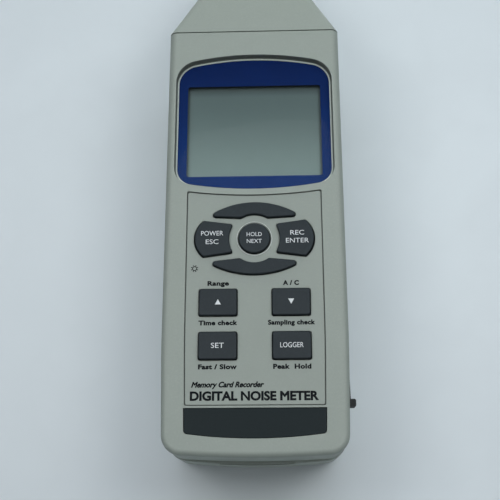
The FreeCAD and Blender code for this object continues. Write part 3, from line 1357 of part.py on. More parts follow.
front_shell()
rear_shell()
mic_cone()
mic_collar()
mic_tube()
mic_capsule()
mic_diaphragm()
mic_grille()
mic_seal()
display_stack()
keypad()
boards()
battery_door()
battery_parts()
tilt_stand()
tripod_insert()
case_screws()
port_cover()
ports()
memory_card()
doc.recompute()
write_parts()
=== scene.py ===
import json
import math

import bmesh
import bpy
from mathutils import Matrix, Vector
from mathutils.geometry import delaunay_2d_cdt


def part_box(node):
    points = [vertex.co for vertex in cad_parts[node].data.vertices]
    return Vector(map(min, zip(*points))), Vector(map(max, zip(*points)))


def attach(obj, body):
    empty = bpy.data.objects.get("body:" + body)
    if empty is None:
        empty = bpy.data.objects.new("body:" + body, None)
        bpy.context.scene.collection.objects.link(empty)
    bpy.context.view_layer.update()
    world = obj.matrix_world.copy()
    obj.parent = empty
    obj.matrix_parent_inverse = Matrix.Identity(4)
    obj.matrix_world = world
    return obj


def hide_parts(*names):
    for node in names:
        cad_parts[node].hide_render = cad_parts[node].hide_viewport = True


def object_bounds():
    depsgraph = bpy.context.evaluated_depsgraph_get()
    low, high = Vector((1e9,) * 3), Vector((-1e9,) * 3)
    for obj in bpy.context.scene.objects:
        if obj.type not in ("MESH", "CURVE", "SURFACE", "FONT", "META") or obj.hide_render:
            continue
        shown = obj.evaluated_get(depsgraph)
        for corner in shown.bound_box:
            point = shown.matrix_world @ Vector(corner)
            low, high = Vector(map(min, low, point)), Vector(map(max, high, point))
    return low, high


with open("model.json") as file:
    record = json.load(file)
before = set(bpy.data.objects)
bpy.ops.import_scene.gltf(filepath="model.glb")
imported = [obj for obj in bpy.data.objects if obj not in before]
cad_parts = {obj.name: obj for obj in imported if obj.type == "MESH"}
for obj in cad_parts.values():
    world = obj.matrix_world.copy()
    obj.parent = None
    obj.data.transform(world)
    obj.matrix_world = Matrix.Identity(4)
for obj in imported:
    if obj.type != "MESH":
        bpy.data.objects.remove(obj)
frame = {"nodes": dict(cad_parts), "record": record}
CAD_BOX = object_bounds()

# A handheld sound level meter lying on its back on a pale table, its display up and its keys
# towards the camera. Everything is in metres, in the frame's axes: +X to the right across the
# display, +Y along the casing towards the microphone, +Z out of the display.

MM = 0.001
scene = bpy.context.scene
nodes = frame["nodes"]
scene.view_settings.view_transform = "Standard"


def box(name):
    """Lowest and highest corner of a CAD node, as vectors."""
    low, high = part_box(name)
    return Vector(low), Vector(high)


def centre(name):
    """Middle of a CAD node's box."""
    low, high = box(name)
    return (low + high) / 2


CASING_HIGH = box("front_shell")[1]
BOTTOM_END = box("rear_shell")[0].y
KEY_TOP = box("hold_key")[1].z
RING_HEIGHT = 0.15 * MM
PANEL_TOP = box("keypad_panel")[1].z - RING_HEIGHT


# ---- camera ----

SENSOR = 36.0
FOCAL_LENGTH = 60.5
CAMERA_DISTANCE = 309.7 * MM
CAMERA_TILT = math.radians(17.5)
CAMERA_YAW = math.radians(1.93)
CAMERA_ROLL = math.radians(0.1)
TARGET_FROM_END = 75.59 * MM
TARGET_ASIDE = -1.6 * MM


def add_camera():
    """The camera looks down on the front face from above the bottom end, a little to the right."""
    target = Vector((TARGET_ASIDE, BOTTOM_END + TARGET_FROM_END, CASING_HIGH.z))
    away = Vector((math.sin(CAMERA_YAW), -math.sin(CAMERA_TILT) * math.cos(CAMERA_YAW),
                   math.cos(CAMERA_TILT) * math.cos(CAMERA_YAW)))
    turn = Matrix.Rotation(-CAMERA_ROLL, 3, away)
    place = target + away * CAMERA_DISTANCE
    data = bpy.data.cameras.new("camera")
    data.sensor_width = SENSOR
    data.lens = FOCAL_LENGTH
    data.clip_start = 1 * MM
    data.clip_end = 50
    camera = bpy.data.objects.new("camera", data)
    camera.matrix_world = placed(place, [turn @ axis for axis in facing(place, target)])
    scene.collection.objects.link(camera)
    scene.camera = camera


# ---- light and floor ----

def facing(place, aim):
    """Axes of something whose -Z points from place at aim, with its X level across the display."""
    away = (Vector(place) - Vector(aim)).normalized()
    right = Vector((0, 1, 0)).cross(away).normalized()
    return right, away.cross(right), away


def placed(place, axes):
    """Matrix of something at a place, turned to three axes."""
    rows = [(*(axis[i] for axis in axes), place[i]) for i in range(3)]
    return Matrix(rows + [(0, 0, 0, 1)])


def softbox(name, place, aim, size, power, colour=(1, 1, 1), diffuse=True, gloss=True):
    """Rectangular area light, aimed at a point. Its face isn't seen itself."""
    data = bpy.data.lights.new(name, "AREA")
    data.shape = "RECTANGLE"
    data.size, data.size_y = size
    data.energy = power
    data.color = colour
    light = bpy.data.objects.new(name, data)
    light.matrix_world = placed(place, facing(place, aim))
    light.visible_camera = False
    light.visible_diffuse = diffuse
    light.visible_glossy = gloss
    scene.collection.objects.link(light)


CASING_MIDDLE = (0, -0.05, 0.02)
WORLD_STRENGTH = 0.13


def add_light():
    """Lights over both sides, a high and a low one beyond the microphone end, a faint window from
    the upper right, a faint one on the table in front, and a ceiling that only shows as gloss."""
    world = bpy.data.worlds.new("studio")
    world.use_nodes = True
    background = world.node_tree.nodes["Background"]
    background.inputs["Color"].default_value = (0.93, 0.98, 1.0, 1)
    background.inputs["Strength"].default_value = WORLD_STRENGTH
    scene.world = world
    softbox("left_light", (-0.25, 0.01, 0.42), CASING_MIDDLE, (0.2, 0.2), 0.48)
    softbox("right_light", (0.25, 0.01, 0.42), CASING_MIDDLE, (0.2, 0.2), 0.58)
    softbox("high_light", (0, 0.42, 0.9), CASING_MIDDLE, (0.8, 0.3), 2.5, (0.85, 0.90, 1.0),
            gloss=False)
    softbox("end_light", (0.05, 1.0, 0.4), CASING_MIDDLE, (1.2, 0.4), 2.2, (0.95, 1.0, 0.88))
    softbox("window_light", (0.42, 0.34, 0.34), (0.16, 0.12, 0), (0.3, 0.3), 0.34,
            (0.86, 0.96, 1.0), gloss=False)
    softbox("near_light", (0, -0.56, 0.34), (0, -0.14, 0), (0.4, 0.2), 0.17, gloss=False)
    softbox("ceiling", (0, -0.14, 0.9), (0, -0.14, 0), (1.2, 1.0), 3.8, diffuse=False)


FLOOR_REACH = 4.0
FLOOR_STEPS = 8


def add_floor():
    """Plain pale table top under the meter's rear face."""
    mesh = bpy.data.meshes.new("floor")
    bm = bmesh.new()
    bmesh.ops.create_grid(bm, x_segments=FLOOR_STEPS, y_segments=FLOOR_STEPS, size=FLOOR_REACH)
    bm.to_mesh(mesh)
    bm.free()
    floor = bpy.data.objects.new("floor", mesh)
    floor.location.z = min(CAD_BOX[0].z, 0)
    scene.collection.objects.link(floor)
    finish = Finish("floor_paint", (0.735, 0.81, 0.85), 0.55)
    finish.mottle(60 * MM, 0.015)
    floor.data.materials.append(finish.material)


# ---- materials ----

def tone(colour, factor):
    """The colour made lighter or darker, opaque."""
    return tuple(min(c * factor, 1.0) for c in colour[:3]) + (1.0,)


class Finish:
    """A procedural material built round one Principled shader.

    Its patterns lie in the object's own coordinates, in metres, so that they move with the piece.
    """

    def __init__(self, name, colour, roughness, metallic=0.0):
        self.material = bpy.data.materials.new(name)
        self.material.use_nodes = True
        self.tree = self.material.node_tree
        self.tree.nodes.clear()
        self.shader = self.add("ShaderNodeBsdfPrincipled")
        self.output = self.add("ShaderNodeOutputMaterial")
        self.link(self.shader.outputs["BSDF"], self.output.inputs["Surface"])
        self.place = self.add("ShaderNodeTexCoord").outputs["Object"]
        self.tint = colour
        self.roughness = roughness
        self.shader.inputs["Base Color"].default_value = tone(colour, 1)
        self.shader.inputs["Roughness"].default_value = roughness
        self.shader.inputs["Metallic"].default_value = metallic

    def add(self, kind, **settings):
        node = self.tree.nodes.new(kind)
        for key, value in settings.items():
            setattr(node, key, value)
        return node

    def link(self, source, target):
        self.tree.links.new(source, target)

    def noise(self, cell, detail=2.0, stretch=(1, 1, 1), rough=0.5):
        """Noise whose blotches are about cell across, longer along an axis by its stretch."""
        mapping = self.add("ShaderNodeMapping")
        mapping.inputs["Scale"].default_value = tuple(1 / (cell * s) for s in stretch)
        self.link(self.place, mapping.inputs["Vector"])
        noise = self.add("ShaderNodeTexNoise")
        noise.inputs["Scale"].default_value = 1.0
        noise.inputs["Detail"].default_value = detail
        noise.inputs["Roughness"].default_value = rough
        self.link(mapping.outputs["Vector"], noise.inputs["Vector"])
        return noise.outputs["Fac"]

    def spread(self, source, low, high, start=0.0, end=1.0):
        """The source from start to end, as low to high."""
        node = self.add("ShaderNodeMapRange", clamp=True)
        node.inputs["From Min"].default_value = start
        node.inputs["From Max"].default_value = end
        node.inputs["To Min"].default_value = low
        node.inputs["To Max"].default_value = high
        self.link(source, node.inputs["Value"])
        return node.outputs["Result"]

    def paint(self, mask, colour):
        """Lays a colour over what is there, where the mask is 1."""
        socket = self.shader.inputs["Base Color"]
        mix = self.add("ShaderNodeMix", data_type="RGBA")
        if socket.is_linked:
            self.link(socket.links[0].from_socket, mix.inputs["A"])
        else:
            mix.inputs["A"].default_value = socket.default_value
        mix.inputs["B"].default_value = tone(colour, 1)
        self.link(mask, mix.inputs["Factor"])
        self.link(mix.outputs["Result"], socket)

    def coordinate(self, axis):
        """Where the surface is along an axis of the frame, in metres."""
        split = self.add("ShaderNodeSeparateXYZ")
        self.link(self.place, split.inputs["Vector"])
        return split.outputs[axis]

    def beyond(self, axis, start, end, strength):
        """Mask that rises smoothly to a strength from start to end along an axis."""
        node = self.add("ShaderNodeMapRange", interpolation_type="SMOOTHSTEP")
        node.inputs["From Min"].default_value = start
        node.inputs["From Max"].default_value = end
        node.inputs["To Max"].default_value = strength
        self.link(self.coordinate(axis), node.inputs["Value"])
        return node.outputs["Result"]

    def all_of(self, masks):
        """Mask where all the masks are."""
        product = masks[0]
        for mask in masks[1:]:
            node = self.add("ShaderNodeMath", operation="MULTIPLY")
            self.link(product, node.inputs[0])
            self.link(mask, node.inputs[1])
            product = node.outputs["Value"]
        return product

    def mottle(self, cell, amount):
        """Soft changes of shade over the surface."""
        noise = self.noise(cell, 3.0)
        self.paint(self.spread(noise, 0, 1, 0.35, 0.5), tone(self.tint, 1 - amount))
        self.paint(self.spread(noise, 0, 1, 0.5, 0.65), tone(self.tint, 1 + amount))

    def mottle_over(self, cell, amount):
        """Soft darker patches over what is painted already."""
        self.paint(self.spread(self.noise(cell, 3.0), 0, amount, 0.4, 0.6), (0, 0, 0))

    def uneven_gloss(self, cell, amount):
        """Blotches that are glossier or duller by an amount."""
        noise = self.noise(cell, 3.0)
        low, high = self.roughness - amount, self.roughness + amount
        self.link(self.spread(noise, max(low, 0.02), min(high, 1), 0.3, 0.7),
                  self.shader.inputs["Roughness"])

    def relief(self, height, depth):
        """Bump of a given depth from a height pattern, on top of any that is there."""
        socket = self.shader.inputs["Normal"]
        bump = self.add("ShaderNodeBump")
        bump.inputs["Distance"].default_value = depth
        bump.inputs["Strength"].default_value = 1.0
        self.link(height, bump.inputs["Height"])
        if socket.is_linked:
            self.link(socket.links[0].from_socket, bump.inputs["Normal"])
        self.link(bump.outputs["Normal"], socket)

    def edges(self, reach, colour):
        """Wear on sharp edges: it shows where a rounding of this reach would turn the surface."""
        rounded = self.add("ShaderNodeBevel", samples=4)
        rounded.inputs["Radius"].default_value = reach
        surface = self.add("ShaderNodeNewGeometry")
        turned = self.add("ShaderNodeVectorMath", operation="DOT_PRODUCT")
        self.link(rounded.outputs["Normal"], turned.inputs[0])
        self.link(surface.outputs["Normal"], turned.inputs[1])
        scratches = self.noise(1.2 * MM, 4.0)
        rubbed = self.add("ShaderNodeMath", operation="MULTIPLY")
        self.link(self.spread(turned.outputs["Value"], 1, 0, 0.75, 0.98), rubbed.inputs[0])
        self.link(self.spread(scratches, 0.15, 0.9, 0.4, 0.62), rubbed.inputs[1])
        self.paint(rubbed.outputs["Value"], colour)


def moulded(name, colour, roughness, grain=0.35 * MM, depth=0.012 * MM, variation=0.035, wear=1.35,
            gloss=0.4):
    """Moulded plastic: eroded grain, slight mottling, uneven gloss and rubbed edges."""
    finish = Finish(name, colour, roughness)
    finish.mottle(9 * MM, variation)
    finish.mottle(0.7 * MM, variation * 0.6)
    finish.edges(0.35 * MM, tone(colour, wear))
    finish.uneven_gloss(5 * MM, 0.06)
    finish.relief(finish.noise(grain, 3.0, rough=0.65), depth)
    finish.shader.inputs["Specular IOR Level"].default_value = gloss
    return finish


def metal(name, colour, roughness, stretch=(1, 1, 1), cell=0.25 * MM):
    """Metal with fine tool marks, which run along the stretched axis."""
    finish = Finish(name, colour, roughness, metallic=1.0)
    finish.mottle(2.5 * MM, 0.08)
    finish.edges(0.2 * MM, tone(colour, 1.3))
    finish.uneven_gloss(1.5 * MM, 0.08)
    finish.relief(finish.noise(cell, 2.0, stretch), 0.006 * MM)
    return finish


CASING_COLOUR = (0.325, 0.372, 0.338)
# Where the painted shade on the walls of the front face's recesses lies, and its colour.
RECESS_HALF = 31.5 * MM
RECESS_DEPTH = 4.0 * MM
RECESS_START = 7 * MM
RECESS_OVER = 1 * MM
RECESS_FADE = 0.3 * MM
RECESS_SHADE = (0.045, 0.050, 0.047)
# Width, depth and fade of the painted shade on the front face's long rims.
RIM_SHADE_WIDTH = 3.4 * MM
RIM_SHADE_DEPTH = 2.2 * MM
RIM_SHADE_FADE = 0.8 * MM


def casing_plastic():
    """Casing plastic, with painted shade on the walls of the front face's recesses and on its long
    rims.
    """
    finish = moulded("casing_plastic", CASING_COLOUR, 0.52, grain=0.45 * MM, depth=0.018 * MM)
    face = CASING_HIGH.z
    low = BOTTOM_END + RECESS_START
    top = box("display_lens")[1].y + RECESS_OVER
    # Painted shade on the recess walls, between the front face and the recess floor.
    finish.paint(finish.all_of([
        finish.beyond("Z", face - 0.1 * MM, face - 0.7 * MM, 0.68),
        finish.beyond("Z", face - RECESS_DEPTH - RECESS_FADE, face - RECESS_DEPTH, 1.0),
        finish.beyond("Y", low, low + RECESS_FADE, 1.0),
        finish.beyond("Y", top + RECESS_FADE, top, 1.0),
        finish.beyond("X", -RECESS_HALF - RECESS_FADE, -RECESS_HALF, 1.0),
        finish.beyond("X", RECESS_HALF + RECESS_FADE, RECESS_HALF, 1.0),
    ]), RECESS_SHADE)
    # Painted shade on the long rims, standing in for the shading of a wider rounding.
    rim = CASING_HIGH.x
    for hand in (-1, 1):
        finish.paint(finish.all_of([
            finish.beyond("X", hand * (rim - RIM_SHADE_WIDTH), hand * rim, 0.30),
            finish.beyond("Z", face - RIM_SHADE_DEPTH - RIM_SHADE_FADE, face - RIM_SHADE_DEPTH, 1.0),
        ]), tone(CASING_COLOUR, 0.45))
    return finish


def panel_film():
    """Printed film: smoother than the casing, with a fine even stipple."""
    return moulded("panel_film", tone(CASING_COLOUR, 0.94), 0.45, grain=0.25 * MM,
                   depth=0.006 * MM, variation=0.02, wear=0.55)


def key_rubber():
    """Soft dark rubber of the nine keys."""
    return moulded("key_rubber", (0.0235, 0.0325, 0.0385), 0.5, grain=0.22 * MM, depth=0.010 * MM,
                   variation=0.07, wear=1.8, gloss=0.2)


def dark_plastic(name, colour, roughness=0.45, gloss=0.3):
    """Dark moulded plastic or rubber, with paler rubbed edges."""
    return moulded(name, colour, roughness, grain=0.3 * MM, depth=0.008 * MM,
                   variation=0.06, wear=1.7, gloss=gloss)


def border_ink():
    """Blue print under the lens, with painted shade that darkens it towards the top of the window.
    """
    finish = Finish("border_ink", (0.0078, 0.037, 0.168), 0.5)
    finish.shader.inputs["Specular IOR Level"].default_value = 0.05
    # Painted shade: the blue is lighter at the bottom of the print and darker at its top.
    low, high = box("display_border")
    finish.paint(finish.beyond("Y", low.y, high.y, 1.0), (0.0029, 0.0165, 0.094))
    finish.mottle_over(14 * MM, 0.06)
    finish.uneven_gloss(3 * MM, 0.05)
    return finish


# How far the window's edges reach over the cell, and the reach of the painted shadow under them.
WINDOW_MARGIN = 2.5 * MM
WINDOW_MARGIN_HIGH = 3.2 * MM
UPPER_SHADE_START = 4.2 * MM
UPPER_SHADE_END = 0.6 * MM
SIDE_SHADE = 1.2 * MM


def lcd_cell():
    """Reflective liquid crystal cell behind its matt polariser, with painted shadow under the
    window's edges and painted shade towards its top.
    """
    finish = Finish("lcd_cell", (0.200, 0.268, 0.254), 0.40, metallic=0.12)
    low, high = box("lcd_glass")
    # Painted shade and reflection: the cell is darker towards its top and lighter towards the
    # bottom.
    upper = low.y + 0.8 * (high.y - low.y)
    finish.paint(finish.beyond("Y", low.y, upper, 1.0), (0.096, 0.137, 0.135))
    finish.mottle_over(18 * MM, 0.02)
    # Painted shadow under the window's upper edge, and painted shade along its sides.
    shade = (0.035, 0.048, 0.047)
    top = high.y - WINDOW_MARGIN_HIGH
    left, right = low.x + WINDOW_MARGIN, high.x - WINDOW_MARGIN
    finish.paint(finish.beyond("Y", top - UPPER_SHADE_START, top - UPPER_SHADE_END, 0.62), shade)
    finish.paint(finish.beyond("X", right - SIDE_SHADE, right, 0.5), shade)
    finish.paint(finish.beyond("X", left + SIDE_SHADE, left, 0.5), shade)
    finish.uneven_gloss(6 * MM, 0.02)
    finish.relief(finish.noise(0.12 * MM, 1.0), 0.002 * MM)
    return finish


def clear_lens():
    """Clear window: what is behind shows through it, under a polished surface."""
    finish = Finish("clear_lens", (0.95, 0.98, 0.98), 0.04)
    finish.tree.nodes.remove(finish.shader)
    clear = finish.add("ShaderNodeBsdfTransparent")
    clear.inputs["Color"].default_value = (0.97, 0.985, 0.985, 1)
    gloss = finish.add("ShaderNodeBsdfGlossy")
    gloss.inputs["Color"].default_value = (1, 1, 1, 1)
    smears = finish.noise(7 * MM, 4.0, rough=0.6)
    finish.link(finish.spread(smears, 0.03, 0.09, 0.4, 0.65), gloss.inputs["Roughness"])
    fresnel = finish.add("ShaderNodeFresnel")
    fresnel.inputs["IOR"].default_value = 1.2
    outside = finish.add("ShaderNodeMath", operation="SUBTRACT")
    outside.inputs[0].default_value = 1
    surface = finish.add("ShaderNodeNewGeometry")
    finish.link(surface.outputs["Backfacing"], outside.inputs[1])
    mix = finish.add("ShaderNodeMixShader")
    finish.link(finish.all_of([fresnel.outputs["Fac"], outside.outputs["Value"]]),
                mix.inputs["Fac"])
    finish.link(clear.outputs["BSDF"], mix.inputs[1])
    finish.link(gloss.outputs["BSDF"], mix.inputs[2])
    finish.link(mix.outputs["Shader"], finish.output.inputs["Surface"])
    return finish


def circuit_board():
    """Green solder mask over a pattern of copper."""
    finish = Finish("circuit_board", (0.012, 0.085, 0.035), 0.35)
    copper = finish.add("ShaderNodeTexBrick")
    copper.inputs["Scale"].default_value = 1 / (6 * MM)
    copper.inputs["Mortar Size"].default_value = 0.08
    copper.inputs["Color1"].default_value = (0, 0, 0, 1)
    copper.inputs["Color2"].default_value = (0, 0, 0, 1)
    copper.inputs["Mortar"].default_value = (1, 1, 1, 1)
    finish.link(finish.place, copper.inputs["Vector"])
    finish.paint(copper.outputs["Fac"], (0.02, 0.16, 0.06))
    finish.relief(copper.outputs["Fac"], 0.03 * MM)
    finish.uneven_gloss(2 * MM, 0.06)
    return finish


JACKET_BAND_SCALE = 0.5 / (51.5 * MM)


def cell_jacket():
    """Printed jacket of a dry cell: plain grey, with a dark band towards its ends."""
    finish = Finish("cell_jacket", (0.42, 0.44, 0.47), 0.3, metallic=0.6)
    finish.mottle(8 * MM, 0.05)
    along = finish.add("ShaderNodeTexWave", wave_type="BANDS", bands_direction="Y")
    along.inputs["Scale"].default_value = JACKET_BAND_SCALE
    finish.link(finish.place, along.inputs["Vector"])
    finish.paint(finish.spread(along.outputs["Fac"], 0, 1, 0.78, 0.8), (0.03, 0.05, 0.09))
    finish.uneven_gloss(3 * MM, 0.05)
    finish.relief(finish.noise(0.5 * MM, 2.0), 0.004 * MM)
    return finish


def ink(name, colour):
    """Matt screen print, a little uneven."""
    finish = Finish(name, colour, 0.5)
    finish.shader.inputs["Specular IOR Level"].default_value = 0.06
    finish.mottle(0.5 * MM, 0.08)
    finish.uneven_gloss(0.8 * MM, 0.06)
    finish.relief(finish.noise(0.15 * MM, 2.0), 0.003 * MM)
    return finish


def slot_finishes():
    """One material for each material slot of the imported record."""
    return {
        "casing": casing_plastic(),
        "collar": dark_plastic("collar_plastic", (0.035, 0.038, 0.042)),
        "mic_metal": metal("mic_metal", (0.62, 0.62, 0.61), 0.32, stretch=(1, 0.15, 1)),
        "foil": metal("foil", (0.86, 0.86, 0.87), 0.15, cell=1 * MM),
        "seal": dark_plastic("seal_rubber", (0.020, 0.020, 0.021), 0.75),
        "border_blue": border_ink(),
        "lens": clear_lens(),
        "lcd": lcd_cell(),
        "frame_plastic": dark_plastic("frame_plastic", (0.045, 0.052, 0.055), 0.5),
        "diffuser": moulded("diffuser", (0.62, 0.66, 0.62), 0.4, wear=1.1),
        "board": circuit_board(),
        "panel": panel_film(),
        "strip": dark_plastic("strip_plastic", (0.0125, 0.0205, 0.023), 0.4, 0.12),
        "key": key_rubber(),
        "steel": metal("zinc_steel", (0.56, 0.56, 0.55), 0.34),
        "chip": dark_plastic("chip_epoxy", (0.018, 0.018, 0.019), 0.55),
        "tin": metal("tin_plate", (0.66, 0.66, 0.63), 0.28, stretch=(8, 1, 1)),
        "ribbon": moulded("polyimide", (0.42, 0.20, 0.045), 0.3, grain=1 * MM, wear=1.2),
        "cell": cell_jacket(),
        "brass": metal("brass", (0.72, 0.50, 0.20), 0.3),
        "cover": dark_plastic("cover_rubber", (0.017, 0.020, 0.022), 0.6),
        "jack": dark_plastic("jack_plastic", (0.024, 0.024, 0.025), 0.35),
        "trimmer": moulded("trimmer_plastic", (0.03, 0.10, 0.34), 0.35, wear=1.4),
        "rotor": metal("rotor_brass", (0.66, 0.48, 0.20), 0.28),
        "cap": moulded("cap_plastic", (0.42, 0.04, 0.03), 0.4, wear=1.3),
        "card": dark_plastic("card_plastic", (0.018, 0.026, 0.060), 0.42),
    }


def dress_frame(finishes):
    """Gives every CAD node the material of its slot in the record."""
    for part in frame["record"]["subparts"]:
        node = nodes[part["node"]]
        node.data.materials.clear()
        node.data.materials.append(finishes[part["material_slot"]].material)


# ---- print ----

PRINT_THICKNESS = 0.03 * MM
PRINT_SUNK = 0.005 * MM


def keep(name, bm, material, body):
    """Makes a piece of a mesh, in the frame's coordinates, on a body."""
    mesh = bpy.data.meshes.new(name)
    bmesh.ops.recalc_face_normals(bm, faces=bm.faces)
    bm.to_mesh(mesh)
    bm.free()
    mesh.materials.append(material)
    piece = bpy.data.objects.new(name, mesh)
    scene.collection.objects.link(piece)
    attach(piece, body)
    return piece


def flat_text(text, slant, spacing):
    """The text as flat faces, its baseline at 0."""
    curve = bpy.data.curves.new("text", "FONT")
    curve.body = text
    curve.align_x = "CENTER"
    curve.shear = slant
    curve.space_character = spacing
    curve.resolution_u = 4
    source = bpy.data.objects.new("text", curve)
    scene.collection.objects.link(source)
    bpy.context.view_layer.update()
    evaluated = source.evaluated_get(bpy.context.evaluated_depsgraph_get())
    mesh = bpy.data.meshes.new_from_object(evaluated)
    bpy.data.objects.remove(source)
    bpy.data.curves.remove(curve)
    return mesh


def rim_loops(mesh):
    """The closed rims of a flat mesh, each with the mesh on its left."""
    sides = {(face.vertices[i - 1], face.vertices[i])
             for face in mesh.polygons for i in range(len(face.vertices))}
    following = {first: last for first, last in sides if (last, first) not in sides}
    loops = []
    while following:
        start, current = following.popitem()
        loop = [start]
        while current != start:
            loop.append(current)
            current = following.pop(current)
        loops.append([mesh.vertices[index].co.xy for index in loop])
    return loops


def moved_outwards(loop, weight):
    """A rim moved to its right by weight, with its sharp corners cut a little."""
    moved = []
    for i, corner in enumerate(loop):
        before = (corner - loop[i - 1]).normalized()
        after = (loop[(i + 1) % len(loop)] - corner).normalized()
        across = Vector((before.y + after.y, -before.x - after.x))
        moved.append(corner + across * weight / max(1 + before.dot(after), 0.5))
    return moved


def winding(point, sides):
    """How many times the rims go round a point."""
    turns = 0
    for start, end in sides:
        if (start.y <= point.y) != (end.y <= point.y):
            left = (end - start).cross(point - start)
            if end.y > start.y and left > 0:
                turns += 1
            elif end.y <= start.y and left < 0:
                turns -= 1
    return turns


def thickened(mesh, weight):
    """Corners and triangles of the flat text with its strokes wider by weight on every side."""
    points, edges, sides = [], [], []
    for loop in rim_loops(mesh):
        moved = moved_outwards(loop, weight)
        count, base = len(moved), len(points)
        edges += [(base + i, base + (i + 1) % count) for i in range(count)]
        sides += [(moved[i], moved[(i + 1) % count]) for i in range(count)]
        points += moved
    corners, _, triangles, *_ = delaunay_2d_cdt(points, edges, [], 0, 1e-5)
    kept = [triangle for triangle in triangles
            if winding(sum((corners[i] for i in triangle), Vector((0, 0))) / 3, sides) > 0]
    return corners, kept


def add_text(bm, text, place, cap, width, weight=0.0, slant=0.0, spacing=1.0):
    """Adds a line of print: place is the middle of its capitals, on the surface printed on."""
    sample = flat_text("H", 0.0, 1.0)
    cap_low = min(vert.co.y for vert in sample.vertices)
    cap_high = max(vert.co.y for vert in sample.vertices)
    mesh = flat_text(text, slant, spacing)
    points, faces = thickened(mesh, weight)
    left, right = min(p.x for p in points), max(p.x for p in points)
    across = width / (right - left)
    along = cap / (cap_high - cap_low + 2 * weight)
    x, y, z = place
    low, high = [], []
    for point in points:
        spot_x = x + (point.x - (left + right) / 2) * across
        spot_y = y + (point.y - (cap_low + cap_high) / 2) * along
        low.append(bm.verts.new((spot_x, spot_y, z - PRINT_SUNK)))
        high.append(bm.verts.new((spot_x, spot_y, z - PRINT_SUNK + PRINT_THICKNESS)))
    sides = {(face[i - 1], face[i]) for face in faces for i in range(3)}
    for face in faces:
        bm.faces.new([high[i] for i in face])
        bm.faces.new([low[i] for i in reversed(face)])
    for first, last in sorted(sides):
        if (last, first) not in sides:
            bm.faces.new((low[first], low[last], high[last], high[first]))
    bmesh.ops.delete(bm, geom=[vert for vert in bm.verts if not vert.link_faces], context="VERTS")
    for used in (mesh, sample):
        bpy.data.meshes.remove(used)


def add_prism(bm, corners, bottom, top):
    """A closed prism over a flat outline."""
    low = [bm.verts.new((x, y, bottom)) for x, y in corners]
    high = [bm.verts.new((x, y, top)) for x, y in corners]
    bm.faces.new(low)
    bm.faces.new(high)
    for i, vert in enumerate(low):
        following = (i + 1) % len(low)
        bm.faces.new((vert, low[following], high[following], high[i]))


def add_arrow(bm, place, width, height, hand):
    """A triangle that points away from the bottom end (1) or towards it (-1)."""
    x, y, z = place
    corners = [(x - width / 2, y - hand * height / 2), (x + width / 2, y - hand * height / 2),
               (x, y + hand * height / 2)]
    add_prism(bm, corners, z - PRINT_SUNK, z + PRINT_THICKNESS - PRINT_SUNK)


def circle(middle, radius, height, segments):
    """Points at a height, on a circle round a middle."""
    angles = [2 * math.pi * i / segments for i in range(segments)]
    return [(middle[0] + radius * math.cos(a), middle[1] + radius * math.sin(a), height)
            for a in angles]


def join_rings(bm, rings, closed=True):
    """Faces between rings of points with the same count, and from the last to the first if closed.
    Gives the rings back as the mesh's own points."""
    loops = [[bm.verts.new(point) for point in ring] for ring in rings]
    following_loops = loops[1:] + loops[:1] if closed else loops[1:]
    for first, second in zip(loops, following_loops):
        for i in range(len(first)):
            following = (i + 1) % len(first)
            bm.faces.new((first[i], first[following], second[following], second[i]))
    return loops


def add_ring(bm, place, inner, outer, segments=40):
    """A flat ring with a square section."""
    bottom, top = place.z - PRINT_SUNK, place.z + PRINT_THICKNESS - PRINT_SUNK
    join_rings(bm, [circle(place, radius, height, segments) for radius, height in
                    ((inner, bottom), (outer, bottom), (outer, top), (inner, top))])


# For each line on a key: its text, its offset across and along, its cap height and its width.
KEY_WORDS = {
    "power_key": [("POWER", -0.1 * MM, 1.9 * MM, 1.75 * MM, 8.2 * MM),
                  ("ESC", -0.1 * MM, -1.4 * MM, 1.75 * MM, 4.7 * MM)],
    "hold_key": [("HOLD", 0, 1.35 * MM, 1.5 * MM, 5.6 * MM),
                 ("NEXT", 0, -1.3 * MM, 1.5 * MM, 5.5 * MM)],
    "record_key": [("REC", 0.4 * MM, 1.85 * MM, 1.75 * MM, 5.1 * MM),
                   ("ENTER", 0.4 * MM, -1.2 * MM, 1.75 * MM, 8.4 * MM)],
    "set_key": [("SET", 0, 0, 1.8 * MM, 4.6 * MM)],
    "log_key": [("LOGGER", 0, 0, 1.8 * MM, 8.3 * MM)],
}
ARROW_WIDTH = 2.15 * MM
ARROW_HEIGHT = 1.95 * MM


def add_key_legends(white):
    """White print on seven of the nine keys: words on five, a triangle on two."""
    for key, lines in KEY_WORDS.items():
        bm = bmesh.new()
        middle = centre(key)
        for text, across, along, cap, width in lines:
            add_text(bm, text, (middle.x + across, middle.y + along, KEY_TOP), cap, width)
        keep(key + "_legend", bm, white, key)
    for key, hand in (("range_up_key", 1), ("weighting_key", -1)):
        bm = bmesh.new()
        middle = centre(key)
        add_arrow(bm, (middle.x, middle.y, KEY_TOP), ARROW_WIDTH, ARROW_HEIGHT, hand)
        keep(key + "_arrow", bm, white, key)


ABOVE_KEY = 7.25 * MM
BELOW_KEY = -7.45 * MM
SMALL_CAP = 1.8 * MM
SMALL_WEIGHT = 0.052
LARGE_WEIGHT = 0.045
# Each word's name, text, the key it belongs to, its offset along from that key, and its width.
PANEL_WORDS = [
    ("range_word", "Range", "range_up_key", ABOVE_KEY, 7.9 * MM),
    ("weighting_word", "A / C", "weighting_key", ABOVE_KEY, 5.85 * MM),
    ("time_word", "Time check", "range_up_key", BELOW_KEY, 14.0 * MM),
    ("sampling_word", "Sampling check", "weighting_key", BELOW_KEY, 16.9 * MM),
    ("response_word", "Fast / Slow", "set_key", BELOW_KEY, 13.8 * MM),
    ("peak_word", "Peak  Hold", "log_key", BELOW_KEY, 13.5 * MM),
]
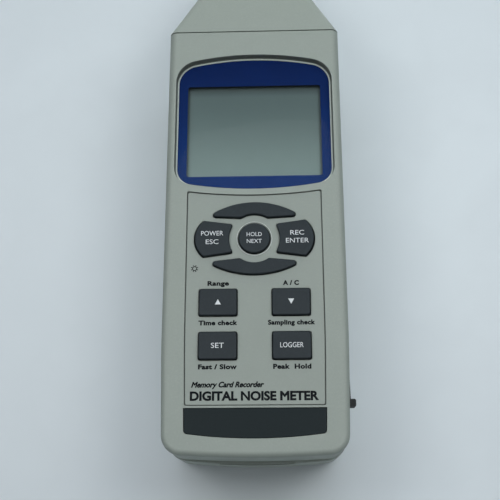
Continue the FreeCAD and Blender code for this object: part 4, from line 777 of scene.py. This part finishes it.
# Each line's name, text, place across, distance from the strip, cap height, width and slant.
TITLE_LINES = [
    ("subtitle", "Memory Card Recorder", -9.6 * MM, 8.25 * MM, 2.05 * MM, 25.8 * MM, 0.3),
    ("title", "DIGITAL NOISE METER", -0.25 * MM, 4.25 * MM, 3.3 * MM, 45.2 * MM, 0.0),
]


def add_panel_print(black):
    """Words above or below the four lower keys, the two lines above the strip, and the sun."""
    for name, text, key, offset, width in PANEL_WORDS:
        bm = bmesh.new()
        middle = centre(key)
        add_text(bm, text, (middle.x, middle.y + offset, PANEL_TOP), SMALL_CAP, width,
                 weight=SMALL_WEIGHT, spacing=1.08)
        keep(name, bm, black, "casing")
    strip_top = box("lower_strip")[1].y
    for name, text, across, along, cap, width, slant in TITLE_LINES:
        bm = bmesh.new()
        add_text(bm, text, (across, strip_top + along, PANEL_TOP), cap, width,
                 weight=LARGE_WEIGHT, slant=slant)
        keep(name, bm, black, "casing")
    add_sun(black)


SUN_ACROSS = -22.0 * MM
SUN_ALONG = -11.3 * MM
SUN_RING = (0.60 * MM, 0.92 * MM)
SUN_RAY = (1.02 * MM, 1.36 * MM)
SUN_RAY_HALF = 0.17 * MM
SUN_RAYS = 8


def add_sun(black):
    """Sign for the backlight: a ring with eight rays."""
    place = Vector((SUN_ACROSS, centre("hold_key").y + SUN_ALONG, PANEL_TOP))
    bm = bmesh.new()
    add_ring(bm, place, *SUN_RING)
    start, end = SUN_RAY
    ray = [(start, -SUN_RAY_HALF), (end, -SUN_RAY_HALF), (end, SUN_RAY_HALF), (start, SUN_RAY_HALF)]
    for i in range(SUN_RAYS):
        turn = Matrix.Rotation(2 * math.pi * i / SUN_RAYS + math.pi / SUN_RAYS, 2)
        corners = [turn @ Vector(corner) for corner in ray]
        add_prism(bm, [(place.x + c.x, place.y + c.y) for c in corners],
                  place.z - PRINT_SUNK, place.z + PRINT_THICKNESS - PRINT_SUNK)
    keep("backlight_sign", bm, black, "casing")


# ---- small pieces ----

def outer_loop(name, height):
    """Corners of a flat CAD piece's outer rim at a height, in order round it."""
    mesh = nodes[name].data
    at = {v.index for v in mesh.vertices if abs(v.co.z - height) < 0.005 * MM}
    spots = {}
    for index in at:
        spots[index] = tuple(round(c / (0.001 * MM)) for c in mesh.vertices[index].co.xy)
    uses = {}
    for face in mesh.polygons:
        if all(index in at for index in face.vertices):
            for first, last in face.edge_keys:
                key = frozenset((spots[first], spots[last]))
                uses[key] = uses.get(key, 0) + 1
    beside = {}
    for key, count in uses.items():
        if count == 1 and len(key) == 2:
            first, last = key
            beside.setdefault(first, []).append(last)
            beside.setdefault(last, []).append(first)
    start = max(beside)
    loop = [start]
    previous, current = None, start
    while True:
        following = next(spot for spot in beside[current] if spot != previous)
        if following == start:
            break
        loop.append(following)
        previous, current = current, following
    return [Vector((x, y)) * 0.001 * MM for x, y in loop]


def inset_loop(loop, distance):
    """The loop moved inwards, by the same distance all round."""
    area = sum(a.cross(b) for a, b in zip(loop, loop[1:] + loop[:1]))
    hand = 1 if area > 0 else -1
    moved = []
    for i, corner in enumerate(loop):
        before = (corner - loop[i - 1]).normalized()
        after = (loop[(i + 1) % len(loop)] - corner).normalized()
        along = (before + after).normalized()
        moved.append(corner + Vector((-along.y, along.x)) * hand * distance)
    return moved


SHARP_ANGLE = math.radians(40)
LENS_BEVEL = 0.22 * MM
LENS_CLEARANCE = 0.03 * MM
EDGE_INSET = 0.05 * MM
EDGE_BOTTOM = 0.088 * MM
EDGE_THICKNESS = 0.015 * MM


def rounded_rim(loop, bottom, top, radius, steps=5):
    """Rings of points up the side of a plate and round its upper edge."""
    rings = [[(p.x, p.y, bottom) for p in loop]]
    for step in range(steps):
        turn = math.pi / 2 * step / (steps - 1)
        inset = radius * (1 - math.cos(turn))
        height = top - radius * (1 - math.sin(turn))
        rings.append([(p.x, p.y, height) for p in inset_loop(loop, inset)])
    return rings


def smooth(piece):
    """Smooth shading on the piece's rounded faces, with its sharp edges kept."""
    piece.data.shade_smooth()
    piece.data.set_sharp_from_angle(angle=SHARP_ANGLE)


def add_lens(clear):
    """The clear lens, polished and round at its rim."""
    low, high = box("display_lens")
    loop = outer_loop("display_lens", low.z)
    rings = rounded_rim(loop, low.z + LENS_CLEARANCE, high.z, LENS_BEVEL)
    bm = bmesh.new()
    loops = join_rings(bm, rings, closed=False)
    bm.faces.new(loops[0])
    bm.faces.new(loops[-1])
    lens = keep("clear_window", bm, clear, "casing")
    smooth(lens)
    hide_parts("display_lens")


def add_painted_lens_rim():
    """A pale frame under the lens's unprinted edge, between the blue print and the recess; its pale
    colour is a painted highlight of that clear edge.
    """
    low, high = box("display_lens")
    print_high = box("display_border")[1]
    loop = outer_loop("display_lens", low.z)
    reach = high.x - print_high.x
    bottom, top = low.z - EDGE_BOTTOM, low.z + EDGE_THICKNESS
    rings = []
    for inset, height in ((EDGE_INSET, bottom), (EDGE_INSET, top), (reach, top), (reach, bottom)):
        rings.append([(p.x, p.y, height) for p in inset_loop(loop, inset)])
    bm = bmesh.new()
    join_rings(bm, rings)
    # Pale colour: a painted highlight where the clear edge of the lens catches the light.
    finish = moulded("painted_lens_rim", (0.66, 0.70, 0.64), 0.3, grain=0.3 * MM, depth=0.004 * MM,
                     variation=0.04, wear=1.1)
    keep("painted_lens_rim", bm, finish.material, "casing")


HOLD_RING_RADIUS = 6.50 * MM
HOLD_RING_HALF = 0.17 * MM
HOLD_RING_SEGMENTS = 96
HOLD_RING_STEPS = 10


def add_hold_ring():
    """Rounded ring round the middle key, moulded on the panel; its pale colour is a painted
    highlight.
    """
    middle = centre("hold_key")
    core = PANEL_TOP + RING_HEIGHT * 0.55
    rings = []
    for step in range(HOLD_RING_STEPS):
        turn = 2 * math.pi * step / HOLD_RING_STEPS
        rings.append(circle(middle, HOLD_RING_RADIUS + HOLD_RING_HALF * math.cos(turn),
                            core + HOLD_RING_HALF * math.sin(turn), HOLD_RING_SEGMENTS))
    bm = bmesh.new()
    join_rings(bm, rings)
    # Pale colour: a painted highlight on the moulded ring, not print.
    finish = moulded("hold_ring_highlight", (0.60, 0.65, 0.62), 0.3, grain=0.2 * MM, depth=0.004 * MM,
                     variation=0.05, wear=1.3)
    ring = keep("hold_ring", bm, finish.material, "casing")
    smooth(ring)


add_camera()
add_light()
add_floor()
finishes = slot_finishes()
dress_frame(finishes)
add_key_legends(ink("white_ink", (0.78, 0.82, 0.84)).material)
add_panel_print(ink("black_ink", (0.008, 0.010, 0.012)).material)
add_lens(finishes["lens"].material)
add_painted_lens_rim()
add_hold_ring()
